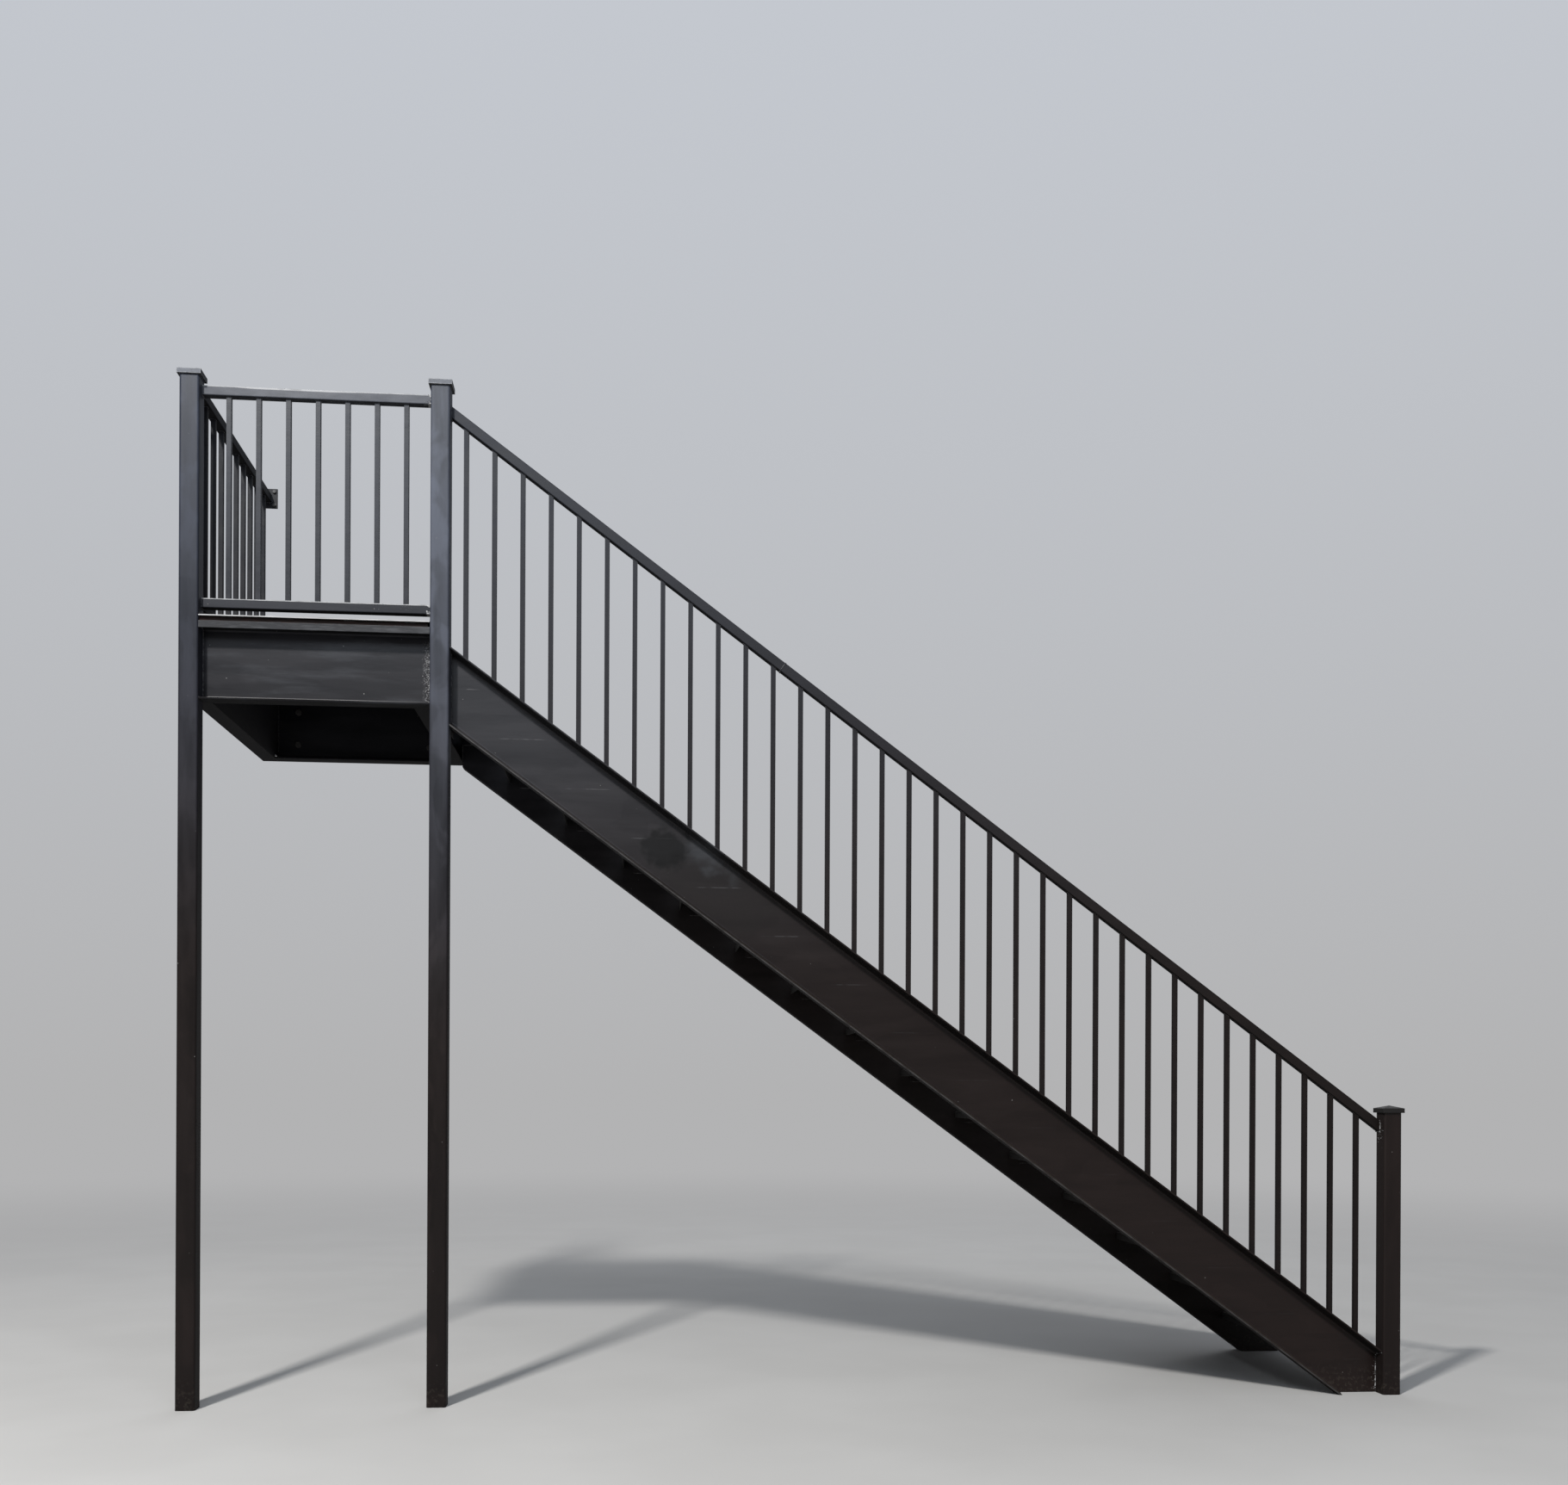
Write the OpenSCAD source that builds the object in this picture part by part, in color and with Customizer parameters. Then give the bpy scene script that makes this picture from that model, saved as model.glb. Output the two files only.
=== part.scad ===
// Outside steel stair with one landing, built against a wall.
// +X runs along the wall and down the flight, +Y points into the wall, +Z is up.
// The origin is the centre of the outer post's foot. All sizes are in millimetres.

/* [Flight] */
// Height of one riser
riser_h = 194.2; // [170:0.2:200]
// Level distance from one tread's nosing to the next
tread_run = 264; // [250:1:290]
// Clear width between the two stringers
clear_w = 1000; // [760:10:1300]
// Depth of the stringer channels
stringer_d = 254; // [203:1:305]
// Flange width of the stringer channels
stringer_flange_w = 66; // [52:1:72]
// Web thickness of the stringer channels
stringer_web_t = 6.1; // [5:0.1:12]
// Mean flange thickness of the stringer channels
stringer_flange_t = 11; // [8:0.5:13]
// Height of a stringer's top edge over the line of the nosings
stringer_lift = 6; // [0:1:40]

/* [Treads] */
// Tread depth from nosing to back edge
tread_d = 254; // [230:1:258]
// Thickness of the bent tread plate
tread_t = 4.8; // [3:0.1:8]
// Height of the tread's turned-down front edge
tread_front_h = 45; // [30:1:48]
// Height of the tread's turned-down back edge
tread_back_h = 32; // [20:1:48]
// Inside radius of the bends in the tread plate
tread_bend_r = 3; // [1:0.5:8]
// Leg of the cleat angles that carry the treads
cleat_leg = 51; // [38:1:64]
// Thickness of the cleat angles
cleat_t = 4.8; // [3:0.1:8]
// Length of each cleat angle
cleat_len = 200; // [120:5:215]

/* [Landing] */
// Distance between the centres of the landing's two posts
post_spacing = 964; // [800:1:1500]
// Depth of the landing channels
landing_d = 305; // [254:1:320]
// Flange width of the landing channels
landing_flange_w = 70; // [58:1:76]
// Web thickness of the landing channels
landing_web_t = 7.2; // [6:0.1:12]
// Mean flange thickness of the landing channels
landing_flange_t = 12.7; // [10:0.1:16]
// Distance from the outer post's outer face to the side channel's flange tips
side_inset = 41; // [0:1:60]
// Gap between the web under the top riser and the first tread's back edge
tread_back_gap = 15; // [5:1:25]
// Thickness of the deck plate
deck_t = 4.8; // [4:0.1:10]
// Thickness of the packing bars between the deck plate and the channels
packing_t = 19; // [8:0.5:30]
// Width of the packing bars
packing_w = 50; // [30:1:60]
// Distance that the packing bars stand back from the deck's edge
packing_setback = 9; // [2:1:20]
// Height of the edge bar on the front channel's top toe
edge_bar_h = 27; // [15:1:60]
// Thickness of the edge bar
edge_bar_t = 5; // [3:0.5:8]
// Leg of the deck joist angles
joist_leg = 64; // [38:1:89]
// Thickness of the deck joist angles
joist_t = 6.4; // [4:0.1:10]
// Space between the far stringer's flange tips and the wall
wall_gap = 16; // [0:1:60]

/* [Posts] */
// Side of the square posts
post_w = 76.2; // [64:0.1:100]
// Wall thickness of the posts
post_wall = 4.8; // [3:0.1:8]
// Outside corner radius of the posts
post_corner_r = 9; // [4:0.5:14]
// Thickness of the plate that closes each post's foot
foot_t = 8; // [4:1:20]
// Height of the landing posts' caps over the deck
post_rise = 966; // [930:1:1150]
// Distance from the last tread's nosing to the newel post
newel_gap = 25; // [5:1:200]
// Height of the newel's cap over the top of the sloped rail beside it
newel_rise = 64; // [45:1:150]
// Side of the post caps
cap_w = 92; // [80:1:130]
// Height of the cap's upright edge
cap_edge_h = 19; // [14:1:40]
// Rise of the cap's low pyramid
cap_rise = 12; // [4:1:40]
// Depth of the pocket that drops over the post
cap_pocket = 12; // [6:1:13]
// Clearance between cap and post
cap_clear = 0.3; // [0.2:0.1:1.5]

/* [Guards] */
// Side of the square guard rails
rail_w = 38.1; // [30:0.1:51]
// Wall thickness of the guard rails
rail_wall = 2.8; // [1.5:0.1:5]
// Outside corner radius of the guard rails
rail_corner_r = 4; // [2:0.5:8]
// Side of the square balusters
baluster_w = 19; // [12:1:25]
// Height of the landing guard's top over the deck
guard_h = 910; // [800:1:1100]
// Height of the bottom rail's underside over the deck
guard_gap = 37; // [10:1:90]
// Vertical height of the sloped rail's top over the stringer's top edge
flight_rail_h = 962; // [850:1:1050]
// Spacing of the landing guard's balusters
landing_pitch = 114.5; // [90:0.5:130]
// Spacing of the flight guard's balusters
flight_pitch = 112; // [90:0.5:130]
// Distance from the stair post to the centre of the flight's first baluster
flight_first = 58; // [30:1:110]
// Side of the plates that hold the side guard to the wall
wall_plate_w = 90; // [76:1:140]
// Thickness of those plates
wall_plate_t = 6.4; // [4:0.1:12]
// Radius of the bolt holes in those plates
wall_plate_hole_r = 5.5; // [3:0.5:7]
// Spacing of those holes, both ways
wall_plate_pitch = 62; // [56:1:70]

/* [Wall bolts] */
// Radius of the bolt holes in the wall channel
ledger_hole_r = 9; // [5:0.5:14]
// Spacing of those holes along the channel
ledger_pitch_x = 600; // [200:10:640]
// Spacing of those holes up the channel
ledger_pitch_z = 150; // [60:5:180]

/* [Hidden] */

// Each tread is a node of its own, so their number is fixed
tread_count = 15;
arc_steps = 3;
cut_extra = 1;
// Balusters reach this far into a rail's wall, as one welded panel
weld_bite = 1;
// Packing bars are cut this much short of each other
bar_gap = 2;
// Rolled channels taper their flanges by one in six
flange_taper = 1 / 6;
flange_root_r = 8;
flange_toe_r = 4;
angle_root_r = 5;

deck_z = riser_h * (tread_count + 1);
slope = riser_h / tread_run;
slope_angle = atan(slope);
half_post = post_w / 2;

// Along the wall: posts, landing edge, nosings
stair_post_x = post_spacing;
landing_edge_x = stair_post_x - half_post;
side_tip_x = side_inset - half_post;
// The channel under the top riser has its toes flush with the stair post
stair_web_x = landing_edge_x - landing_flange_w;
nosing_x0 = stair_web_x + landing_web_t + tread_back_gap + tread_d - tread_run;
last_nosing_x = nosing_x0 + tread_run * tread_count;
newel_x = last_nosing_x + newel_gap + half_post;

// Into the wall: near web, far web, wall
near_web_y = half_post;
far_web_y = near_web_y + clear_w;
wall_y = far_web_y + stringer_flange_w + wall_gap;
landing_front_y = half_post - landing_flange_w;
ledger_tip_y = wall_y - landing_flange_w;

// Heights at the landing
channel_top_z = deck_z - deck_t - packing_t;
channel_z = channel_top_z - landing_d;
post_cap_z = deck_z + post_rise;

// Rails are flush with the posts' inner faces
rail_y = half_post - rail_w / 2;
rail_x = half_post - rail_w / 2;
top_rail_z = deck_z + guard_h - rail_w;
low_rail_z = deck_z + guard_gap;
low_rail_top = low_rail_z + rail_w;
sloped_rail_v = rail_w / cos(slope_angle);

function stringer_top(x) = deck_z + stringer_lift - slope * (x - nosing_x0);
function rail_top(x) = stringer_top(x) + flight_rail_h;
function nosing_x(i) = nosing_x0 + tread_run * i;
function tread_z(i) = deck_z - riser_h * i;
function tread_name(i) = str("tread_", i < 10 ? "0" : "", i);

newel_cap_z = rail_top(newel_x - half_post) + newel_rise;

function arc(cx, cy, r, a0, a1) =
    [for (i = [0:arc_steps]) let (a = a0 + (a1 - a0) * i / arc_steps) [cx + r * cos(a), cy + r * sin(a)]];

// Lower half of a rolled channel's outline, web at x = 0 and toes at x = w
function half_channel(w, web, flange) =
    let (
        taper_a = atan(flange_taper),
        root = flange + (w - web) / 2 * flange_taper,
        lift = 1 / cos(taper_a),
        root_cy = root + flange_root_r * (lift - flange_taper),
        toe_cx = w - flange_toe_r,
        toe_cy = root - (toe_cx - web) * flange_taper - flange_toe_r * lift
    )
    concat(
        [[0, 0], [w, 0]],
        arc(toe_cx, toe_cy, flange_toe_r, 0, 90 - taper_a),
        arc(web + flange_root_r, root_cy, flange_root_r, 270 - taper_a, 180)
    );

function flip_up(pts, d) = [for (i = [len(pts) - 1:-1:0]) [pts[i].x, d - pts[i].y]];

module channel_profile(d, w, web, flange) {
    half = half_channel(w, web, flange);
    polygon(concat(half, flip_up(half, d)));
}

module landing_profile() {
    channel_profile(landing_d, landing_flange_w, landing_web_t, landing_flange_t);
}

module stringer_profile() {
    channel_profile(stringer_d, stringer_flange_w, stringer_web_t, stringer_flange_t);
}

// An equal angle with its heel at the origin, legs along +x and down
module angle_profile(leg, t) {
    polygon(concat(
        [[0, -leg], [0, 0], [leg, 0], [leg, -t]],
        arc(t + angle_root_r, -t - angle_root_r, angle_root_r, 90, 180),
        [[t, -leg]]
    ));
}

module rounded_square(w, r) {
    square([w, w - 2 * r], center = true);
    square([w - 2 * r, w], center = true);
    for (sx = [-1, 1], sy = [-1, 1])
        translate([sx * (w / 2 - r), sy * (w / 2 - r)])
            circle(r = r, $fn = 48);
}

module square_tube_profile(w, wall, r) {
    difference() {
        rounded_square(w, r);
        rounded_square(w - 2 * wall, max(r - wall, 0.8));
    }
}

// Turns a profile's x to +Y and its y to +Z, and draws it out along +X
module along_x(len) {
    rotate([90, 0, 90]) linear_extrude(len) children();
}

// Keeps a profile's x and turns its y to +Z, and draws it out along -Y
module along_y(len) {
    rotate([90, 0, 0]) linear_extrude(len) children();
}

module post(x, h) {
    color("dimgray")
        translate([x, 0, 0]) {
            translate([0, 0, foot_t])
                linear_extrude(h - foot_t)
                    square_tube_profile(post_w, post_wall, post_corner_r);
            linear_extrude(foot_t)
                rounded_square(post_w, post_corner_r);
        }
}

// A cast cap: upright edge, low pyramid and a pocket that drops over the post
module cap_gable() {
    polygon([
        [-cap_w / 2, 0], [cap_w / 2, 0], [cap_w / 2, cap_edge_h],
        [0, cap_edge_h + cap_rise], [-cap_w / 2, cap_edge_h]
    ]);
}

module post_cap(x, top_z) {
    pocket_w = post_w + 2 * cap_clear;
    color("gray")
        translate([x, 0, top_z - cap_edge_h - cap_rise])
            difference() {
                intersection() {
                    translate([-cap_w / 2, 0, 0]) along_x(cap_w) cap_gable();
                    translate([0, cap_w / 2, 0]) along_y(cap_w) cap_gable();
                }
                translate([0, 0, -cut_extra])
                    linear_extrude(cap_pocket + cut_extra)
                        rounded_square(pocket_w, post_corner_r);
            }
}

function under_cap(top_z) = top_z - cap_edge_h - cap_rise + cap_pocket;

module outer_post() { post(0, under_cap(post_cap_z)); }
module stair_post() { post(stair_post_x, under_cap(post_cap_z)); }
module newel_post() { post(newel_x, under_cap(newel_cap_z)); }
module outer_post_cap() { post_cap(0, post_cap_z); }
module stair_post_cap() { post_cap(stair_post_x, post_cap_z); }
module newel_post_cap() { post_cap(newel_x, newel_cap_z); }

module landing_front_channel() {
    color("darkslategray")
        translate([half_post, near_web_y, channel_z])
            mirror([0, 1, 0])
                along_x(landing_edge_x - half_post) landing_profile();
}

// The web runs on between the wall channel's flanges, which is where the flanges are coped away
module coped_web(web_x) {
    reach = landing_flange_w - landing_web_t;
    cope = landing_flange_t + landing_flange_w / 2 * flange_taper + flange_root_r;
    translate([web_x, ledger_tip_y, channel_z + cope])
        cube([landing_web_t, reach, landing_d - 2 * cope]);
}

module landing_side_channel() {
    web_x = side_tip_x + landing_flange_w;
    color("darkslategray") {
        translate([web_x, ledger_tip_y, channel_z])
            mirror([1, 0, 0])
                along_y(ledger_tip_y - near_web_y) landing_profile();
        coped_web(web_x - landing_web_t);
    }
}

module landing_stair_channel() {
    color("darkslategray") {
        translate([stair_web_x, ledger_tip_y, channel_z])
            along_y(ledger_tip_y - near_web_y) landing_profile();
        coped_web(stair_web_x);
    }
}

module landing_wall_channel() {
    mid_x = (side_tip_x + landing_edge_x) / 2;
    color("darkslategray")
        difference() {
            translate([side_tip_x, wall_y, channel_z])
                mirror([0, 1, 0])
                    along_x(landing_edge_x - side_tip_x) landing_profile();
            for (sx = [-1, 1], sz = [-1, 1])
                translate([
                    mid_x + sx * ledger_pitch_x / 2,
                    wall_y + cut_extra,
                    channel_z + landing_d / 2 + sz * ledger_pitch_z / 2
                ])
                    rotate([90, 0, 0])
                        cylinder(h = landing_web_t + 2 * cut_extra, r = ledger_hole_r, $fn = 48);
        }
}

// Flat bar welded along the front channel's top toe, hanging below it
module landing_edge_bar() {
    color("slategray")
        translate([half_post, landing_front_y - edge_bar_t, channel_top_z - edge_bar_h])
            cube([landing_edge_x - half_post, edge_bar_t, edge_bar_h]);
}

// Flat bars on the channels' top flanges, which lift the deck plate
module deck_packing() {
    front_y = landing_front_y + packing_setback;
    side_x = side_tip_x + packing_setback;
    stair_x = landing_edge_x - packing_setback - packing_w;
    side_y = max(near_web_y, front_y + packing_w + bar_gap);
    back_y = wall_y - packing_w;
    side_len = back_y - bar_gap - side_y;
    color("dimgray")
        translate([0, 0, channel_top_z]) {
            translate([half_post, front_y, 0])
                cube([stair_x + packing_w - half_post, packing_w, packing_t]);
            for (x = [side_x, stair_x])
                translate([x, side_y, 0]) cube([packing_w, side_len, packing_t]);
            translate([side_x, back_y, 0])
                cube([stair_x + packing_w - side_x, packing_w, packing_t]);
        }
}

module deck_joists() {
    x0 = side_tip_x + landing_flange_w;
    span = stair_web_x - x0;
    color("dimgray")
        for (k = [1, 2])
            translate([x0, near_web_y + (wall_y - near_web_y) * k / 3, deck_z - deck_t])
                along_x(span) angle_profile(joist_leg, joist_t);
}

module landing_deck() {
    front_y = landing_front_y - edge_bar_t;
    color("gray")
        translate([0, 0, deck_z - deck_t])
            difference() {
                translate([side_tip_x, front_y, 0])
                    cube([landing_edge_x - side_tip_x, wall_y - front_y, deck_t]);
                translate([side_tip_x - cut_extra, front_y - cut_extra, -cut_extra])
                    cube([
                        half_post - side_tip_x + cut_extra,
                        near_web_y - front_y + cut_extra,
                        deck_t + 2 * cut_extra
                    ]);
            }
}

// A sloped channel, its top edge on the stringer line, cut plumb at both ends and level at the ground
module sloped_channel(x0, x1) {
    over = stringer_d * 2;
    top = stringer_top(x0);
    run_len = (x1 - x0) / cos(slope_angle) + 2 * over;
    intersection() {
        translate([x0, 0, top])
            rotate([0, slope_angle, 0])
                translate([-over, 0, -stringer_d])
                    along_x(run_len) stringer_profile();
        translate([x0, -cut_extra, 0])
            cube([x1 - x0, stringer_flange_w + 2 * cut_extra, top + over]);
    }
}

module near_stringer() {
    color("darkslategray")
        translate([0, near_web_y, 0])
            mirror([0, 1, 0])
                sloped_channel(stair_post_x + half_post, newel_x - half_post);
}

module far_stringer() {
    color("darkslategray")
        translate([0, far_web_y, 0])
            sloped_channel(landing_edge_x, newel_x - half_post);
}

// Bent plate: flat top, front and back edges turned down on round bends
module tread_profile() {
    ro = tread_t + tread_bend_r;
    polygon(concat(
        [[0, -tread_front_h]],
        arc(-ro, -ro, ro, 0, 90),
        arc(ro - tread_d, -ro, ro, 90, 180),
        [[-tread_d, -tread_back_h], [tread_t - tread_d, -tread_back_h]],
        arc(ro - tread_d, -ro, tread_bend_r, 180, 90),
        arc(-ro, -ro, tread_bend_r, 90, 0),
        [[-tread_t, -tread_front_h]]
    ));
}

module tread(i) {
    color("gray")
        translate([nosing_x(i), far_web_y, tread_z(i)])
            along_y(clear_w) tread_profile();
}

// Cleats sit under the flat of each tread, between its turned-down edges
function cleat_x(i) = nosing_x(i) - tread_t - tread_bend_r - cleat_len;

// The top cleat on the near side starts where the stringer does
function near_cleat_x(i) = max(cleat_x(i), stair_post_x + half_post);

module near_tread_cleats() {
    color("dimgray")
        for (i = [1:tread_count])
            translate([near_cleat_x(i), near_web_y, tread_z(i) - tread_t])
                along_x(nosing_x(i) - tread_t - tread_bend_r - near_cleat_x(i))
                    angle_profile(cleat_leg, cleat_t);
}

module far_tread_cleats() {
    color("dimgray")
        for (i = [1:tread_count])
            translate([cleat_x(i), far_web_y, tread_z(i) - tread_t])
                mirror([0, 1, 0])
                    along_x(cleat_len) angle_profile(cleat_leg, cleat_t);
}

module rail_tube(len) {
    along_x(len) square_tube_profile(rail_w, rail_wall, rail_corner_r);
}

module baluster(x, z0, z1) {
    translate([x - baluster_w / 2, -baluster_w / 2, z0])
        cube([baluster_w, baluster_w, z1 - z0]);
}

// Level guard panel from x = 0: two rails and the balusters between them, centred on its length
module level_guard(len) {
    gaps = ceil(len / landing_pitch);
    first = (len - (gaps - 2) * landing_pitch) / 2;
    translate([0, 0, top_rail_z + rail_w / 2]) rail_tube(len);
    translate([0, 0, low_rail_z + rail_w / 2]) rail_tube(len);
    for (k = [0:gaps - 2])
        baluster(first + k * landing_pitch, low_rail_top - weld_bite, top_rail_z + weld_bite);
}

module landing_front_guard() {
    color("black")
        translate([half_post, rail_y, 0])
            level_guard(landing_edge_x - half_post);
}

module landing_side_guard() {
    color("black")
        translate([rail_x, half_post, 0])
            rotate([0, 0, 90])
                level_guard(wall_y - wall_plate_t - half_post);
}

// Sloped rail on balusters that stand on the near stringer's top flange
module flight_guard() {
    x0 = stair_post_x + half_post;
    x1 = newel_x - half_post;
    over = rail_w * 2;
    run_len = (x1 - x0) / cos(slope_angle) + 2 * over;
    count = floor((x1 - x0 - flight_first) / flight_pitch) + 1;
    color("black")
        translate([0, rail_y, 0]) {
            intersection() {
                translate([x0, 0, rail_top(x0)])
                    rotate([0, slope_angle, 0])
                        translate([-over, 0, -rail_w / 2])
                            rail_tube(run_len);
                translate([x0, -rail_w, 0])
                    cube([x1 - x0, 2 * rail_w, rail_top(x0) + over]);
            }
            for (k = [0:count - 1])
                flight_baluster(x0 + flight_first + k * flight_pitch);
        }
}

// Both ends follow the slope, one on the stringer's flange and one under the rail
module flight_baluster(x) {
    xl = x - baluster_w / 2;
    xr = x + baluster_w / 2;
    translate([0, baluster_w / 2, 0])
        along_y(baluster_w)
            polygon([
                [xl, stringer_top(xl)], [xr, stringer_top(xr)],
                [xr, rail_top(xr) - sloped_rail_v + weld_bite],
                [xl, rail_top(xl) - sloped_rail_v + weld_bite]
            ]);
}

module guard_wall_plates() {
    color("dimgray")
        for (z = [top_rail_z, low_rail_z])
            translate([rail_x, wall_y, z + rail_w / 2])
                rotate([90, 0, 0])
                    difference() {
                        linear_extrude(wall_plate_t)
                            square(wall_plate_w, center = true);
                        for (sx = [-1, 1], sy = [-1, 1])
                            translate([sx * wall_plate_pitch / 2, sy * wall_plate_pitch / 2, -cut_extra])
                                cylinder(h = wall_plate_t + 2 * cut_extra, r = wall_plate_hole_r, $fn = 48);
                    }
}

outer_post();
stair_post();
newel_post();
outer_post_cap();
stair_post_cap();
newel_post_cap();
landing_front_channel();
landing_side_channel();
landing_stair_channel();
landing_wall_channel();
landing_edge_bar();
deck_packing();
deck_joists();
landing_deck();
near_stringer();
far_stringer();
near_tread_cleats();
far_tread_cleats();
for (i = [1:tread_count])
    tread(i);
landing_front_guard();
landing_side_guard();
flight_guard();
guard_wall_plates();
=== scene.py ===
import math
import random

import bmesh
import bpy
from mathutils import Matrix, Vector


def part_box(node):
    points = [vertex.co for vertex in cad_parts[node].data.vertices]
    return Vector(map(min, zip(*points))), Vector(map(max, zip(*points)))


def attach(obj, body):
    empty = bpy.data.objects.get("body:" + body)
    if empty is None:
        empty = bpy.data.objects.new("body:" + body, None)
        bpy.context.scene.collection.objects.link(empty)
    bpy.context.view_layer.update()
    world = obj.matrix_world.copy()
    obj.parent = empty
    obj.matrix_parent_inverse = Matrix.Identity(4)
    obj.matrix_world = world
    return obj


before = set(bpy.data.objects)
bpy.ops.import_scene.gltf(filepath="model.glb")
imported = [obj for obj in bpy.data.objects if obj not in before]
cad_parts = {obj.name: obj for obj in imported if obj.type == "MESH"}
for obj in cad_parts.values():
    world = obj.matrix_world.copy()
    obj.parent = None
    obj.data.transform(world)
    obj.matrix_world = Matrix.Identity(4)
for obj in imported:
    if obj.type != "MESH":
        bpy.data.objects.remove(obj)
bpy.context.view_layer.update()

rng = random.Random(417)
X, Y, Z = Vector((1, 0, 0)), Vector((0, 1, 0)), Vector((0, 0, 1))


# Sizes and places, in metres, from the frame. x runs down the flight and y to the wall.
def low(node):
    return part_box(node)[0]


def high(node):
    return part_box(node)[1]


POST_HALF = high("outer_post").x
EDGE_X = low("stair_post").x
FLIGHT_X0 = high("stair_post").x
NEWEL_X = low("newel_post").x
DECK_TOP = high("landing_deck").z
DECK_UNDER = low("landing_deck").z
DECK_FRONT_Y = low("landing_deck").y
CHANNEL_TOP = high("landing_front_channel").z
CHANNEL_FOOT = low("landing_front_channel").z
CHANNEL_WIDTH = high("landing_front_channel").y - low("landing_front_channel").y
STRINGER_WIDTH = high("near_stringer").y - low("near_stringer").y
NEAR_Y = high("near_stringer").y
FAR_Y = low("far_stringer").y
WALL_Y = high("landing_wall_channel").y
SIDE_X = high("landing_side_channel").x
STAIR_WEB_X = low("landing_stair_channel").x
RAIL = high("landing_front_guard").y - low("landing_front_guard").y
RAIL_Y = high("landing_front_guard").y - RAIL / 2
RAIL_FRONT = RAIL_Y - RAIL / 2
TOP_RAIL_Z = high("landing_front_guard").z - RAIL
LOW_RAIL_Z = low("landing_front_guard").z
PLATE_Y = low("guard_wall_plates").y
TREADS = sorted(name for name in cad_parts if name.startswith("tread_"))
RISER = high(TREADS[0]).z - high(TREADS[1]).z
RUN = high(TREADS[1]).x - high(TREADS[0]).x
SLOPE = RISER / RUN
ANGLE = math.atan(SLOPE)
DOWN_FLIGHT = Vector((math.cos(ANGLE), 0, -math.sin(ANGLE)))
OFF_FLIGHT = Vector((math.sin(ANGLE), 0, math.cos(ANGLE)))
RAIL_PLUMB_HALF = RAIL / 2 / math.cos(ANGLE)

# Section sizes that a box doesn't give
LANDING_WEB, LANDING_FLANGE = 0.0072, 0.0127
STRINGER_WEB, STRINGER_FLANGE, STRINGER_DEPTH = 0.0061, 0.011, 0.254
FLANGE_TAPER = 1 / 6
TREAD_T = 0.0048
CLEAT_T, CLEAT_LEG, CLEAT_LENGTH, CLEAT_BACK = 0.0048, 0.051, 0.200, 0.0078
RAIL_CORNER = 0.004
BAR, BAR_CORNER = 0.019, 0.0008
LANDING_PITCH, FLIGHT_PITCH, FLIGHT_FIRST, FLIGHT_COUNT = 0.1145, 0.112, 0.058, 34
JOISTS = 2


def stringer_top(x):
    return high("near_stringer").z - SLOPE * (x - FLIGHT_X0)


def rail_top(x):
    return high("flight_guard").z - SLOPE * (x - FLIGHT_X0)


def level_bars(start, end):
    """Centres of a landing guard's bars, spaced from the middle of the panel."""
    gaps = math.ceil((end - start) / LANDING_PITCH)
    first = (end - start - (gaps - 2) * LANDING_PITCH) / 2
    return [start + first + k * LANDING_PITCH for k in range(gaps - 1)]


FRONT_BARS = level_bars(POST_HALF, EDGE_X)
SIDE_BARS = level_bars(POST_HALF, PLATE_Y)
FLIGHT_BARS = [FLIGHT_X0 + FLIGHT_FIRST + FLIGHT_PITCH * k for k in range(FLIGHT_COUNT)]

# Camera, fitted to the photograph
IMAGE_WIDTH = 1821
FOCAL_PIXELS = 1777
SHIFT_PIXELS = 402.3
SENSOR_WIDTH = 36.0
CLIP_END = 300
CAMERA_PLACE = (1.8014, -6.1774, 1.2658)
CAMERA_YAW = math.radians(5.0)
CAMERA_ROLL = math.radians(0.26)


def make_camera():
    camera = bpy.data.objects.new("camera", bpy.data.cameras.new("camera"))
    bpy.context.collection.objects.link(camera)
    camera.data.sensor_width = SENSOR_WIDTH
    camera.data.lens = SENSOR_WIDTH * FOCAL_PIXELS / IMAGE_WIDTH
    camera.data.shift_y = SHIFT_PIXELS / IMAGE_WIDTH
    camera.data.clip_end = CLIP_END
    ahead = Vector((math.sin(CAMERA_YAW), math.cos(CAMERA_YAW), 0))
    level = ahead.cross(Z)
    right = level * math.cos(CAMERA_ROLL) + Z * math.sin(CAMERA_ROLL)
    upward = Z * math.cos(CAMERA_ROLL) - level * math.sin(CAMERA_ROLL)
    turn = Matrix((right, upward, -ahead)).transposed().to_4x4()
    camera.matrix_world = Matrix.Translation(CAMERA_PLACE) @ turn
    bpy.context.scene.camera = camera


make_camera()


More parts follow.
